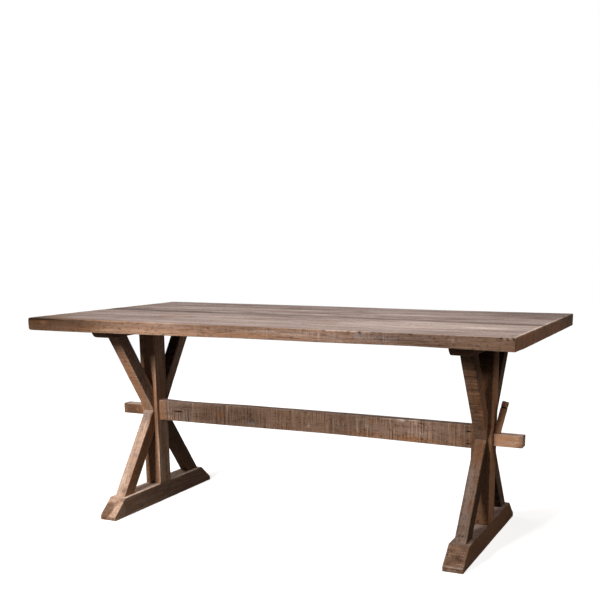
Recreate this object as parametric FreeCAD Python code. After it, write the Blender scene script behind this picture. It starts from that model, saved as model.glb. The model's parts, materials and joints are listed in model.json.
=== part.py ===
"""Sawbuck dining table of reclaimed timber.

Millimetres.  X runs along the table, -Y is the front, +Z is up, and the origin is on the
floor under the middle of the table.  Two braced trestles carry a boarded top.  A stretcher
passes through both posts and a tusk outside each post locks it.
"""
import FreeCAD, Part
import math
import os
from FreeCAD import Vector

# ---------------------------------------------------------------- driving dimensions
TOP_LENGTH = 1740.0
TOP_WIDTH = 900.0
TABLE_HEIGHT = 760.0
TOP_THICKNESS = 44.0
TOP_CORNER_RADIUS = 7.0        # rounding of the four corners, seen from above
TOP_EDGE_RADIUS = 4.0          # worn arris round the top and the underside
SEAM_GROOVE = 1.2              # half width and depth of the groove where boards meet

SEAMS_Y = (-326.0, -208.0, -118.0, -28.0, 112.0, 214.0, 338.0)   # boards of random width

TRESTLE_X = 670.0              # centre of each trestle from the middle of the table
TIMBER_WIDTH = 70.0            # width along X of foot, post and bearer
TIMBER_EASE = 2.0              # worn arris of the frame timbers

FOOT_LENGTH = 658.0
FOOT_HEIGHT = 73.0
FOOT_TOE = 16.0                # vertical part of the foot's end
FOOT_BEVEL = 65.0              # how far the end slopes back

POST_DEPTH = 72.0
POST_TENON_X = 40.0
POST_TENON_Y = 44.0
FOOT_TENON_LENGTH = 42.0
BEARER_TENON_LENGTH = 26.0

BEARER_LENGTH = 636.0
BEARER_HEIGHT = 36.0
BEARER_ROUND = 34.0            # radius of the bearer's lower ends

STRUT_WIDTH = 43.0
STRUT_DEPTH = 52.0
STRUT_MEETING_Z = 372.0        # height at which an upper and a lower strut meet
STRUT_NIB = 5.0                # flat on which the two struts bear on each other
UPPER_SEAT_Y = 243.0           # outer corner of an upper strut on the bearer
LOWER_SEAT_Y = 252.0           # outer corner of a lower strut on the foot

STRETCHER_THICKNESS = 40.0
STRETCHER_BOTTOM = 331.0
STRETCHER_TOP = 413.0
TENON_BOTTOM = 347.0
TENON_TOP = 388.0
TENON_PROJECTION = 102.0       # tenon beyond the outer face of the post
TENON_CHAMFER = 3.0
KERF_WIDTH = 1.4               # saw cuts run past the shoulder at the right end
KERF_LENGTH = 13.0

TUSK_LEAN_DEG = 12.5
TUSK_WIDTH = 22.0
TUSK_THICKNESS = 16.0
TUSK_TOP = 500.0
TUSK_FOOT_GAP = 2.0            # tusk ends this far above the underside of the tenon
TUSK_CHEEK_RISE = 4.0          # upright cheek reaches this far above the tenon
TUSK_EASE = 1.5
SLOT_CLEARANCE = 0.3
SLOT_SETBACK = 1.5             # slot starts inside the post, so that the tusk draws tight

SCREW_SIDES = 8                # round sections drawn with few flats
SCREW_HEAD_RADIUS = 5.0
SCREW_RADIUS = 2.4
SCREW_TIP_RADIUS = 0.6
SCREW_HEAD_HEIGHT = 3.0
SCREW_LENGTH = 64.0
SCREW_TIP = 8.0
SCREW_RECESS = 0.5
SCREW_Y = (-270.0, -160.0, -76.0, 62.0, 160.0, 270.0)   # one screw in each board crossed

NAIL_SECTION = 3.6             # square cut nails
NAIL_LENGTH = 54.0
NAIL_SET = 1.0                 # head driven this far below the wood
SEAT_NAIL_X = (-9.0, 3.0)      # two nails at the seat of each strut
SEAT_NAIL_RISE = 20.0          # their height above the seat
SEAT_NAIL_SLOPE_DEG = 12.0
POST_NAIL_RISE = 46.0          # nail from strut to post, away from the meeting line
TOE_NAIL_X = -12.0             # nail at the foot of the post
TOE_NAIL_RISE = 22.0
TOE_NAIL_SLOPE_DEG = 35.0

# ---------------------------------------------------------------- derived places
TOP_UNDERSIDE = TABLE_HEIGHT - TOP_THICKNESS
BEARER_BOTTOM = TOP_UNDERSIDE - BEARER_HEIGHT
POST_HALF = POST_DEPTH / 2
TIMBER_HALF = TIMBER_WIDTH / 2
TENON_TIP = TRESTLE_X + TIMBER_HALF + TENON_PROJECTION
SIDES = {"left": -1, "right": 1}
FACES = {"front": -1, "back": 1}


# ---------------------------------------------------------------- helpers
def prism(points, direction):
    """Closed outline of points carried along a direction."""
    return Part.Face(Part.makePolygon(points + [points[0]])).extrude(direction)


def yz_prism(outline, x_centre, width):
    """Outline of (y, z) pairs, as thick as width and centred on x_centre."""
    points = [Vector(x_centre - width / 2, y, z) for y, z in outline]
    return prism(points, Vector(width, 0, 0))


def xz_prism(outline, thickness):
    """Outline of (x, z) pairs, centred on the XZ plane."""
    points = [Vector(x, -thickness / 2, z) for x, z in outline]
    return prism(points, Vector(0, thickness, 0))


def block(x_span, y_span, z_span):
    """Box between pairs of limits."""
    size = [high - low for low, high in (x_span, y_span, z_span)]
    return Part.makeBox(*size, Vector(x_span[0], y_span[0], z_span[0]))


def edges_along(shape, direction):
    """Straight edges of a shape that run along a direction."""
    found = []
    for edge in shape.Edges:
        run = edge.Vertexes[-1].Point - edge.Vertexes[0].Point
        if run.Length > 0 and run.cross(direction).Length < 1e-6 * run.Length * direction.Length:
            found.append(edge)
    return found


def eased(shape, directions, radius):
    """Shape with its edges along the given directions rounded."""
    edges = []
    for direction in directions:
        edges += edges_along(shape, direction)
    return shape.makeFillet(radius, edges)


def square_rod(start, direction, length, section):
    """Square rod from a start point."""
    rod = Part.makeBox(section, section, length, Vector(-section / 2, -section / 2, 0))
    rod.Placement = FreeCAD.Placement(start, FreeCAD.Rotation(Vector(0, 0, 1), direction))
    return rod


def ring(x, y, z, radius):
    """Level ring of a screw, drawn with flats."""
    points = []
    for corner in range(SCREW_SIDES + 1):
        angle = 2 * math.pi * (corner % SCREW_SIDES) / SCREW_SIDES
        points.append(Vector(x + radius * math.cos(angle), y + radius * math.sin(angle), z))
    return Part.makePolygon(points)


# ---------------------------------------------------------------- top
def seam_groove(seam_y):
    """Wedge that takes the arrises off two boards where they meet."""
    outline = [(seam_y - SEAM_GROOVE, TABLE_HEIGHT), (seam_y, TABLE_HEIGHT - SEAM_GROOVE),
               (seam_y + SEAM_GROOVE, TABLE_HEIGHT)]
    return yz_prism(outline, 0, TOP_LENGTH)


def top_slab():
    """Whole top with rounded corners and arrises, before it is divided into boards."""
    half_length = TOP_LENGTH / 2
    half_width = TOP_WIDTH / 2
    slab = block((-half_length, half_length), (-half_width, half_width), (TOP_UNDERSIDE, TABLE_HEIGHT))
    slab = slab.makeFillet(TOP_CORNER_RADIUS, edges_along(slab, Vector(0, 0, 1)))
    rims = [edge for edge in slab.Edges if abs(edge.BoundBox.ZLength) < 1e-6]
    slab = slab.makeFillet(TOP_EDGE_RADIUS, rims)
    for seam_y in SEAMS_Y:
        slab = slab.cut(seam_groove(seam_y))
    return slab


def boards():
    """The top's boards, from the front to the back."""
    slab = top_slab()
    limits = (-TOP_WIDTH / 2,) + SEAMS_Y + (TOP_WIDTH / 2,)
    length = (-TOP_LENGTH / 2, TOP_LENGTH / 2)
    height = (TOP_UNDERSIDE, TABLE_HEIGHT)
    return [slab.common(block(length, board_span, height)) for board_span in zip(limits, limits[1:])]


# ---------------------------------------------------------------- trestle
def foot(x_centre):
    """Foot with sloping ends."""
    half = FOOT_LENGTH / 2
    slope_start = half - FOOT_BEVEL
    outline = [(-half, 0), (half, 0), (half, FOOT_TOE), (slope_start, FOOT_HEIGHT),
               (-slope_start, FOOT_HEIGHT), (-half, FOOT_TOE)]
    timber = yz_prism(outline, x_centre, TIMBER_WIDTH)
    slope = Vector(0, FOOT_BEVEL, FOOT_HEIGHT - FOOT_TOE)
    mirrored_slope = Vector(0, -FOOT_BEVEL, FOOT_HEIGHT - FOOT_TOE)
    return eased(timber, (Vector(0, 1, 0), slope, mirrored_slope, Vector(0, 0, 1)), TIMBER_EASE)


def bearer(x_centre):
    """Bearer under the top, with rounded lower ends."""
    half = BEARER_LENGTH / 2
    timber = block((x_centre - TIMBER_HALF, x_centre + TIMBER_HALF), (-half, half),
                   (BEARER_BOTTOM, TOP_UNDERSIDE))
    lower_ends = [edge for edge in edges_along(timber, Vector(1, 0, 0))
                  if abs(edge.CenterOfMass.z - BEARER_BOTTOM) < 1e-6]
    timber = timber.makeFillet(BEARER_ROUND, lower_ends)
    under_arrises = [edge for edge in edges_along(timber, Vector(0, 1, 0))
                     if abs(edge.CenterOfMass.z - BEARER_BOTTOM) < 1e-6]
    return timber.makeFillet(TIMBER_EASE, under_arrises)


def stub_tenon(x_centre, z_span):
    """Stub tenon on an end of a post; it also cuts the mortise."""
    half_x = POST_TENON_X / 2
    half_y = POST_TENON_Y / 2
    return block((x_centre - half_x, x_centre + half_x), (-half_y, half_y), z_span)


def post_tenons(x_centre):
    """Both stub tenons of a post."""
    lower = stub_tenon(x_centre, (FOOT_HEIGHT - FOOT_TENON_LENGTH, FOOT_HEIGHT))
    upper = stub_tenon(x_centre, (BEARER_BOTTOM, BEARER_BOTTOM + BEARER_TENON_LENGTH))
    return lower, upper


def post(x_centre):
    """Post between foot and bearer, with stub tenons and the stretcher's mortise."""
    timber = block((x_centre - TIMBER_HALF, x_centre + TIMBER_HALF), (-POST_HALF, POST_HALF),
                   (FOOT_HEIGHT, BEARER_BOTTOM))
    timber = eased(timber, (Vector(0, 0, 1),), TIMBER_EASE)
    for tenon in post_tenons(x_centre):
        timber = timber.fuse(tenon)
    return timber.cut(tenon_bar()).removeSplitter()


def strut_lines(seat_y, seat_z):
    """Run of a strut's outer face, and the step from its outer to its inner face."""
    meeting = Vector(0, POST_HALF + STRUT_NIB, STRUT_MEETING_Z)
    seat = Vector(0, seat_y, seat_z)
    run = (meeting - seat).normalize()
    step = Vector(1, 0, 0).cross(run)
    if step.y > 0:
        step = -step
    return seat, meeting, run, step * STRUT_DEPTH


def strut(x_centre, face, seat_y, seat_z):
    """Strut from its seat to the post: it bears on the post and on the strut above or below."""
    seat, meeting, run, step = strut_lines(seat_y, seat_z)
    inner_seat = seat + step + run * ((seat_z - (seat + step).z) / run.z)
    at_post = seat + step + run * ((POST_HALF - (seat + step).y) / run.y)
    corners = [seat, meeting, Vector(0, POST_HALF, STRUT_MEETING_Z), at_post, inner_seat]
    outline = [(face * corner.y, corner.z) for corner in corners]
    timber = yz_prism(outline, x_centre, STRUT_WIDTH)
    return eased(timber, (Vector(0, face * run.y, run.z),), TIMBER_EASE)


# ---------------------------------------------------------------- stretcher and tusks
def tenon_bar():
    """Bar with the section of the tenons, from tip to tip; it also cuts the posts' mortises."""
    half = STRETCHER_THICKNESS / 2
    return block((-TENON_TIP, TENON_TIP), (-half, half), (TENON_BOTTOM, TENON_TOP))


def tusk_lean():
    """Sideways run of the tusk for each unit of height."""
    return math.tan(math.radians(TUSK_LEAN_DEG))


def tusk_outer_x(z):
    """Outer face of the right tusk at a height."""
    bend = TENON_TOP + TUSK_CHEEK_RISE
    cheek = TRESTLE_X + TIMBER_HALF + SLOT_CLEARANCE
    return cheek + TUSK_WIDTH + (z - bend) * tusk_lean()


def tusk_slot(side):
    """Slot through a tenon: its outer wall leans with the tusk."""
    clearance = SLOT_CLEARANCE / math.cos(math.radians(TUSK_LEAN_DEG))
    inner = TRESTLE_X + TIMBER_HALF - SLOT_SETBACK
    outline = [(inner, TENON_BOTTOM), (tusk_outer_x(TENON_BOTTOM) + clearance, TENON_BOTTOM),
               (tusk_outer_x(TENON_TOP) + clearance, TENON_TOP), (inner, TENON_TOP)]
    return xz_prism([(side * x, z) for x, z in outline], TUSK_THICKNESS + 2 * SLOT_CLEARANCE)


def shoulder_kerf(z):
    """Saw cut that ran past the right shoulder, in line with a cheek of the tenon."""
    half = STRETCHER_THICKNESS / 2
    shoulder = TRESTLE_X - TIMBER_HALF
    return block((shoulder - KERF_LENGTH, shoulder), (-half, half), (z - KERF_WIDTH / 2, z + KERF_WIDTH / 2))


def stretcher():
    """Stretcher: shoulders against the posts, through tenons and tusk slots."""
    half = STRETCHER_THICKNESS / 2
    shoulder = TRESTLE_X - TIMBER_HALF
    body = block((-shoulder, shoulder), (-half, half), (STRETCHER_BOTTOM, STRETCHER_TOP))
    body = eased(body, (Vector(1, 0, 0),), TIMBER_EASE)
    bar = tenon_bar()
    tips = [edge for edge in bar.Edges if edge.BoundBox.XLength < 1e-6]
    timber = body.fuse(bar.makeChamfer(TENON_CHAMFER, tips)).removeSplitter()
    for side in SIDES.values():
        timber = timber.cut(tusk_slot(side))
    for z in (TENON_BOTTOM, TENON_TOP):
        timber = timber.cut(shoulder_kerf(z))
    return timber


def tusk(side):
    """Tusk: an upright cheek bears on the post and the outer face leans with the slot."""
    bend = TENON_TOP + TUSK_CHEEK_RISE
    base = TENON_BOTTOM + TUSK_FOOT_GAP
    cheek = TRESTLE_X + TIMBER_HALF + SLOT_CLEARANCE
    crown_drop = TUSK_WIDTH * tusk_lean()
    outline = [(cheek, base), (tusk_outer_x(base), base),
               (tusk_outer_x(TUSK_TOP - crown_drop), TUSK_TOP - crown_drop),
               (tusk_outer_x(TUSK_TOP) - TUSK_WIDTH, TUSK_TOP), (cheek, bend)]
    wedge = xz_prism([(side * x, z) for x, z in outline], TUSK_THICKNESS)
    crown = [edge for edge in wedge.Edges if edge.BoundBox.ZMin > TUSK_TOP - 2 * crown_drop]
    return wedge.makeFillet(TUSK_EASE, crown)


# ---------------------------------------------------------------- fasteners
def screw(x, y):
    """Countersunk screw that points up, its head just below the bearer's underside."""
    base = BEARER_BOTTOM + SCREW_RECESS
    profile = [(SCREW_HEAD_RADIUS, 0), (SCREW_RADIUS, SCREW_HEAD_HEIGHT),
               (SCREW_RADIUS, SCREW_LENGTH - SCREW_TIP), (SCREW_TIP_RADIUS, SCREW_LENGTH)]
    rings = [ring(x, y, base + z, radius) for radius, z in profile]
    return Part.makeLoft(rings, True, True)


def screw_pocket(x, y):
    """Recess under a screw's head."""
    return Part.Face(ring(x, y, BEARER_BOTTOM, SCREW_HEAD_RADIUS)).extrude(Vector(0, 0, SCREW_RECESS))


def nail(surface_point, direction):
    """Nail set below the wood, and the longer rod that makes its hole."""
    way = Vector(direction).normalize()
    body = square_rod(surface_point + way * NAIL_SET, way, NAIL_LENGTH, NAIL_SECTION)
    outside = NAIL_LENGTH / 4
    hole = square_rod(surface_point - way * outside, way, outside + NAIL_SET + NAIL_LENGTH, NAIL_SECTION)
    return body, hole


def strut_nails(x_centre, face, seat_y, seat_z):
    """Two nails at a strut's seat and one from the strut into the post."""
    seat, meeting, run, _ = strut_lines(seat_y, seat_z)
    towards_seat = -1 if run.z > 0 else 1
    slope = math.radians(SEAT_NAIL_SLOPE_DEG)
    entry = seat + run * (SEAT_NAIL_RISE / abs(run.z))
    heading = Vector(0, -face * math.sin(slope), towards_seat * math.cos(slope))
    nails = [nail(Vector(x_centre + dx, face * entry.y, entry.z), heading) for dx in SEAT_NAIL_X]
    entry = meeting - run * (POST_NAIL_RISE / abs(run.z))
    nails.append(nail(Vector(x_centre, face * entry.y, entry.z), Vector(0, -face, 0)))
    return nails


def toe_nail(x_centre):
    """Nail from the front of the post down into the foot."""
    slope = math.radians(TOE_NAIL_SLOPE_DEG)
    start = Vector(x_centre + TOE_NAIL_X, -POST_HALF, FOOT_HEIGHT + TOE_NAIL_RISE)
    return nail(start, Vector(0, math.sin(slope), -math.cos(slope)))


# ---------------------------------------------------------------- assembly
def trestle(name, side):
    """Every piece of one trestle, with the holes for its nails."""
    x_centre = side * TRESTLE_X
    tenons = post_tenons(x_centre)
    pieces = {
        "foot_" + name: foot(x_centre).cut(tenons[0]),
        "post_" + name: post(x_centre),
        "bearer_" + name: bearer(x_centre).cut(tenons[1]),
    }
    nails = [toe_nail(x_centre)]
    for level, seat_y, seat_z in (("upper", UPPER_SEAT_Y, BEARER_BOTTOM), ("lower", LOWER_SEAT_Y, FOOT_HEIGHT)):
        for face_name, face in FACES.items():
            pieces["strut_%s_%s_%s" % (name, level, face_name)] = strut(x_centre, face, seat_y, seat_z)
            nails += strut_nails(x_centre, face, seat_y, seat_z)
    holes = [hole for _, hole in nails]
    for node in pieces:
        pieces[node] = pieces[node].cut(holes)
    pieces["nails_" + name] = Part.makeCompound([body for body, _ in nails])
    return pieces


def table():
    """All pieces by name."""
    pieces = {}
    screws = {name: [screw(side * TRESTLE_X, y) for y in SCREW_Y] for name, side in SIDES.items()}
    all_screws = screws["left"] + screws["right"]
    for number, board in enumerate(boards(), start=1):
        pieces["plank_%d" % number] = board.cut(all_screws)
    for name, side in SIDES.items():
        pieces.update(trestle(name, side))
        pockets = [screw_pocket(side * TRESTLE_X, y) for y in SCREW_Y]
        pieces["bearer_" + name] = pieces["bearer_" + name].cut(screws[name] + pockets)
        pieces["screws_" + name] = Part.makeCompound(screws[name])
        pieces["tusk_" + name] = tusk(side)
    pieces["stretcher"] = stretcher()
    return pieces


os.makedirs("parts", exist_ok=True)
for node, shape in table().items():
    shape.exportStep("parts/%s.step" % node)
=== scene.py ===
"""Sawbuck dining table of reclaimed timber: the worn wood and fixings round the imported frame.

Metres, in the frame's own axes: X runs along the table, -Y is the front and +Z is up.  Every timber
is a bar, a rectangular section carried along the piece and worn by hollows.
"""
import functools
import itertools
import json
import math

import bpy
import numpy as np
from mathutils import Euler, Matrix, Vector

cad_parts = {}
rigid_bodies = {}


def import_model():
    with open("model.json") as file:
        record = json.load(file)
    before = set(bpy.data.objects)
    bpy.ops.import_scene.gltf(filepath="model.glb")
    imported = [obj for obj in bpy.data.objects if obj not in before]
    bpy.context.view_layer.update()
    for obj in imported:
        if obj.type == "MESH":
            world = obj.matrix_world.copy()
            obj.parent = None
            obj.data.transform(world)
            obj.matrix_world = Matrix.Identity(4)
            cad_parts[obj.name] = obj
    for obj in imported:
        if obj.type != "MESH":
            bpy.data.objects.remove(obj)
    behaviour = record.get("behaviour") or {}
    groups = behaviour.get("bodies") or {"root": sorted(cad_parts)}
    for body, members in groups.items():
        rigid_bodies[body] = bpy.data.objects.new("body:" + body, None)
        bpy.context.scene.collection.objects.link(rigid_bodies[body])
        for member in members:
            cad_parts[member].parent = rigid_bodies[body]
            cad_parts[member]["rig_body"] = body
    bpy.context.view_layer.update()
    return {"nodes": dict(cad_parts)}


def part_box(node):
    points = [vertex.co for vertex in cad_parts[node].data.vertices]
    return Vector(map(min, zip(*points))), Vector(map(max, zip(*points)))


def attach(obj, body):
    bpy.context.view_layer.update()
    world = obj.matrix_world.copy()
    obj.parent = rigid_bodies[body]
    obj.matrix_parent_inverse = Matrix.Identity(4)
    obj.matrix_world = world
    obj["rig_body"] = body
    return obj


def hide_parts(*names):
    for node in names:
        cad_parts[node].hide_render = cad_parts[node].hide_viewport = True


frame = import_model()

bl_info = {
    "name": "Sawbuck table",
    "version": (1, 0, 0),
    "blender": (4, 5, 0),
    "location": "View3D > Sidebar > Sawbuck",
    "description": "Builds the worn timber, fixings and studio of a sawbuck dining table",
    "category": "Add Mesh",
}

MM = 0.001
TINY = 1e-6
SIDES = {"left": -1, "right": 1}
FACES = {"front": -1, "back": 1}


# ---- places read from the frame
def span(node):
    """Lowest and highest corner of a node, as one array of two rows."""
    return np.array([tuple(corner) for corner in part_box(node)])


BOARDS = [span("plank_%d" % number) for number in range(1, 9)]
FOOT, POST, BEARER, TUSK, STRUT = (span(kind % "right") for kind in (
    "foot_%s", "post_%s", "bearer_%s", "tusk_%s", "strut_%s_lower_back"))
STRETCHER = span("stretcher")

UNDERSIDE_Z, TOP_Z = BOARDS[0][:, 2]
TRESTLE_X = (FOOT[0, 0] + FOOT[1, 0]) / 2
TIMBER_HALF = (FOOT[1, 0] - FOOT[0, 0]) / 2
FOOT_TOP = FOOT[1, 2]
BEARER_BOTTOM = BEARER[0, 2]
POST_HALF = POST[1, 1]
STRUT_HALF = (STRUT[1, 0] - STRUT[0, 0]) / 2
STRUT_MEETING = STRUT[1, 2]
STRETCHER_HALF = STRETCHER[1, 1]

# Sizes inside the joints, which no node's box shows.
FOOT_TOE = 16 * MM
FOOT_SLOPE_RUN = 65 * MM
FOOT_BLUNTING = 1.5 * MM  # how softly the slope runs into the level
BEARER_ROUND = 34 * MM
BEARER_LIP = 4 * MM  # height left at the bearer's very end
STUB_TENON_HALF = (20 * MM, 22 * MM)
STRUT_DEPTH = 52 * MM
STRUT_NIB = 5 * MM
TENON_Z = (347 * MM, 388 * MM)
TENON_CHAMFER = 3 * MM
TUSK_WIDTH = 22 * MM
TUSK_BEND = TENON_Z[1] + 4 * MM
TUSK_LEAN = math.tan(math.radians(12.5))
SLOT_CLEARANCE = 0.3 * MM
SLOT_SETBACK = 1.5 * MM

# Ways in the frame in which a bar's length, width and depth run.
ALONG_X = ((1, 0, 0), (0, 1, 0), (0, 0, 1))
ALONG_Y = ((0, 1, 0), (1, 0, 0), (0, 0, 1))
ALONG_Z = ((0, 0, 1), (1, 0, 0), (0, 1, 0))


def body_of_node(node):
    """Name of the frame's body that carries a node."""
    return frame["nodes"][node]["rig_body"]


# ---- settings
def linear_colour(code):
    """Linear red, green and blue of an sRGB hex value."""
    values = [int(code[place:place + 2], 16) / 255 for place in (1, 3, 5)]
    return tuple(v / 12.92 if v <= 0.04045 else ((v + 0.055) / 1.055) ** 2.4 for v in values)


def number_property(name, description, default, **more):
    """A number that a user may change."""
    return bpy.props.FloatProperty(name=name, description=description, default=default, **more)


def length_property(name, description, millimetres):
    """A length that a user may change."""
    return number_property(name, description, millimetres * MM, min=0.0, unit="LENGTH", subtype="DISTANCE",
                           precision=5)


def colour_property(name, description, code):
    """A colour that a user may change, given as sRGB hex."""
    return bpy.props.FloatVectorProperty(name=name, description=description, size=3, min=0.0, max=1.0,
                                         default=linear_colour(code), subtype="COLOR")


class SawbuckSizes(bpy.types.PropertyGroup):
    """Wear and mesh sizes of the timber."""
    mesh_step: length_property("Mesh step", "Spacing of the mesh along and across a timber", 4.0)
    arris_wear: length_property("Arris wear", "How far a sharp arris is rubbed back", 0.9)
    undulation: length_property("Undulation", "Depth of the long hollows left by plane and adze", 0.5)
    dent_depth: length_property("Dent depth", "Depth of a typical knock", 0.7)
    board_crown: length_property("Board crown", "How far a board's edges lie below its middle", 0.5)
    ring_spacing: length_property("Ring spacing", "Width of one year's growth", 3.6)
    fibre_width: length_property("Fibre width", "Width of the fine streaks, coarse enough to show", 2.4)
    saw_spacing: length_property("Saw spacing", "Distance between the marks of the band saw", 3.6)
    top_hollow: length_property("Top hollow", "Hollow planed into the back of the top", 2.0)
    front_thinning: length_property("Front thinning", "How far the front board is planed from below", 6.0)
    stretcher_arch: length_property("Stretcher arch", "Rise of the middle of the stretcher's underside", 5.5)


class SawbuckColours(bpy.types.PropertyGroup):
    """Colours of the finishes."""
    wood_pale: colour_property("Wood, pale", "Sapwood and rubbed arrises", "#CBAE98")
    wood_body: colour_property("Wood, body", "Oiled pine", "#9A7A66")
    wood_deep: colour_property("Wood, deep", "Late wood and dark streaks", "#5F4232")
    wood_warm: colour_property("Wood, warm", "Resin and heartwood", "#9C6B47")
    skin_pale: colour_property("Skin, pale", "Weathered skin where it is palest", "#C2B1A6")
    skin_body: colour_property("Skin, body", "Weathered skin", "#A4928A")
    skin_deep: colour_property("Skin, deep", "Dark streaks of the weathered skin", "#67514B")
    # Soot also colours the walls of holes, as painted shade.
    soot: colour_property("Soot", "Cracks, knots and nail stains", "#1D1410")
    iron: colour_property("Iron", "Skin of old cut nails", "#2A2522")
    rust: colour_property("Rust", "Rust on the nails", "#4A2C1C")
    zinc: colour_property("Zinc", "Plating of the screws", "#B9BBB8")
    zinc_dull: colour_property("Zinc, dull", "Where the plating has gone grey", "#7E807E")
    floor: colour_property("Floor", "Studio floor", "#F4F3F1")


class SawbuckStage(bpy.types.PropertyGroup):
    """Camera and lamps."""
    camera_place: bpy.props.FloatVectorProperty(
        name="Camera", description="Where the camera stands", size=3, subtype="TRANSLATION",
        default=(1.4332, -2.8888, 1.0244))
    camera_yaw: number_property("Yaw", "How far the camera turns left of +Y", 0.42219, subtype="ANGLE")
    camera_pitch: number_property("Pitch", "How far the camera looks up", -0.21617, subtype="ANGLE")
    camera_roll: number_property("Roll", "Tilt of the camera", -0.00347, subtype="ANGLE")
    lens: number_property("Lens", "Focal length in millimetres", 53.565)
    shift: bpy.props.FloatVectorProperty(
        name="Shift", description="Sideways and upward shift of the lens", size=2, default=(-0.0664, 0.2263))
    front_lamp: number_property("Front lamp", "Power of the lamp at the front in watts", 50.0)
    side_lamp: number_property("Side lamp", "Power of the lamp at the right in watts", 10.5)
    left_lamp: number_property("Left lamp", "Power of the lamp at the left in watts", 12.0)
    low_lamp: number_property("Low lamp", "Power of the low lamp at the right in watts", 1.8)
    overhead_lamp: number_property("Overhead lamp", "Power of the lamp above the top in watts", 23.0)
    world_level: number_property("World", "Level of the light all round", 0.015)


def sizes():
    """The settings of the timber."""
    return bpy.context.scene.sawbuck_sizes


# ---- noise and marks
HASH_KEYS = np.array((73856093, 19349663, 83492791))
HASH_FACTORS = (1274126177, 668265263)
SEED_FACTOR = 2654435761
HASH_MASK = 0x7FFFFFFF
OCTAVE_SEED = 17


def lattice_noise(points, seed):
    """Noise from -1 to 1: a random value at each corner of a unit lattice, blended by smoothstep."""
    cell = np.floor(points).astype(np.int64)
    blend = smoothstep(0, 1, points - cell)
    total = np.zeros(len(points))
    for corner in itertools.product((0, 1), repeat=3):
        key = (cell + np.array(corner)) @ HASH_KEYS + seed * SEED_FACTOR
        for shift, factor in zip((13, 16), HASH_FACTORS):
            key = (key ^ (key >> shift)) * factor & HASH_MASK
        total += np.prod(np.where(corner, blend, 1 - blend), axis=1) * (key / (HASH_MASK / 2) - 1)
    return total


def fractal_noise(points, cell, seed, octaves=3):
    """Sum of lattice noises, each twice as fine and half as strong as the one before.  The cells of the
    first have a size in millimetres along, across and deep."""
    total = np.zeros(len(points))
    for octave in range(octaves):
        finer = points / (np.array(cell) * MM) * 2 ** octave
        total += lattice_noise(finer, seed + OCTAVE_SEED * octave) / 2 ** octave
    return total


def bell(points, centre, reach, sharpness=1.0):
    """1 at a centre and 0 past its reach: the exponential of minus the squared distance, which is
    raised to the sharpness."""
    return np.exp(-np.sum(((points - centre) / reach) ** 2, axis=1) ** sharpness)


def smoothstep(low, high, values):
    """0 below low, 1 above high, with a smooth rise between them."""
    part = np.clip((values - low) / (high - low), 0, 1)
    return part * part * (3 - 2 * part)


class Mark:
    """A hollow, a change of colour or both: a bell, which a higher sharpness makes flatter.  Some colour
    changes are stains and wear, some are painted shade or painted light.  Place, reach and depth
    are millimetres, along, across and deep in the timber; the other changes are hundredths."""

    def __init__(self, x, y, z, reach_x, reach_y, reach_z,
                 shade=0, dark=0, depth=0, skin=0, warm=0, sharpness=1, saw=0):
        self.centre = np.array((x, y, z)) * MM
        self.reach = np.array((reach_x, reach_y, reach_z)) * MM
        self.depth = depth * MM
        self.changes = np.array((shade, warm, dark, skin, saw)) / 100
        self.sharpness = sharpness

    def share(self, points):
        """How much of the mark each point has."""
        return bell(points, self.centre, self.reach, self.sharpness)


PATCHY_CELL = (70, 12, 30)
PATCHY_SEED = 71
STREAK_DEEP = 12  # how deep a streak goes, in millimetres
STREAK_FADE = (-0.05, 0.02)  # where a streak starts to show and shows in full, from its line's end


class Streak(Mark):
    """A mark along a line, through points given along and across, that comes and goes with a noise."""

    def __init__(self, line, deep, width, broken, **changes):
        super().__init__(0, 0, deep, 1, width, STREAK_DEEP, **changes)
        self.line = np.array(line, float).T * MM
        self.broken = broken

    def share(self, points):
        """A bell across the line, patchy along it, with soft ends."""
        along, across = self.line
        middle = np.stack([points[:, 0], np.interp(points[:, 0], along, across), 0 * points[:, 0]], 1)
        patchy = fractal_noise(points, PATCHY_CELL, PATCHY_SEED, 2) * self.broken + 1 - self.broken / 2
        inside = np.minimum(points[:, 0] - along[0], along[-1] - points[:, 0])
        shown = np.clip(patchy, 0, 1.2) * smoothstep(*STREAK_FADE, inside)
        return bell(points, middle + self.centre, self.reach) * shown


# ---- bars
ARC_STEPS = 4  # steps round a quarter of a rounded arris
ARRIS_PLACES = np.array((0.0, 1.2, 3.0, 6.0)) * MM  # columns close to an arris
CAP_RINGS = np.array((0.1, 0.3, 0.5, 0.7, 0.86, 0.95))  # rings on the end grain, as shares of its size
TUNNEL_STEPS = 5  # steps along the wall of a hole


def with_fixed(places, fixed, gap):
    """Places with the fixed ones put in and those within a gap of one left out, save the ends."""
    for place in fixed:
        ends = (places == places.min()) | (places == places.max())
        places = places[(np.abs(places - place) > gap) | ends]
    return np.unique(np.round(np.concatenate([places, np.array(fixed, float)]), 7))


def row_places(low, high, fixed=(), step=None):
    """Places along a bar, a step apart and at the fixed places."""
    step = step or sizes().mesh_step
    count = max(2, int(round((high - low) / step)) + 1)
    return with_fixed(np.linspace(low, high, count), fixed, step / 2.5)


def inside_ends(end, *insets):
    """Places some millimetres inside both ends of a bar that is centred on 0."""
    return [side * (end - inset * MM) for side in SIDES.values() for inset in insets]


def side_places(length, step, fixed):
    """Places along one side, from -1 to 1: close together near its arrises, a step apart between them,
    and at the fixed places, which are measured from its middle."""
    near = ARRIS_PLACES[ARRIS_PLACES < length / 4]
    count = max(2, int(round((length - 2 * near[-1]) / step)) + 1)
    places = np.concatenate([near, np.linspace(near[-1], length - near[-1], count), length - near])
    return with_fixed(places - length / 2, fixed, step / 3) * 2 / length


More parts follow.
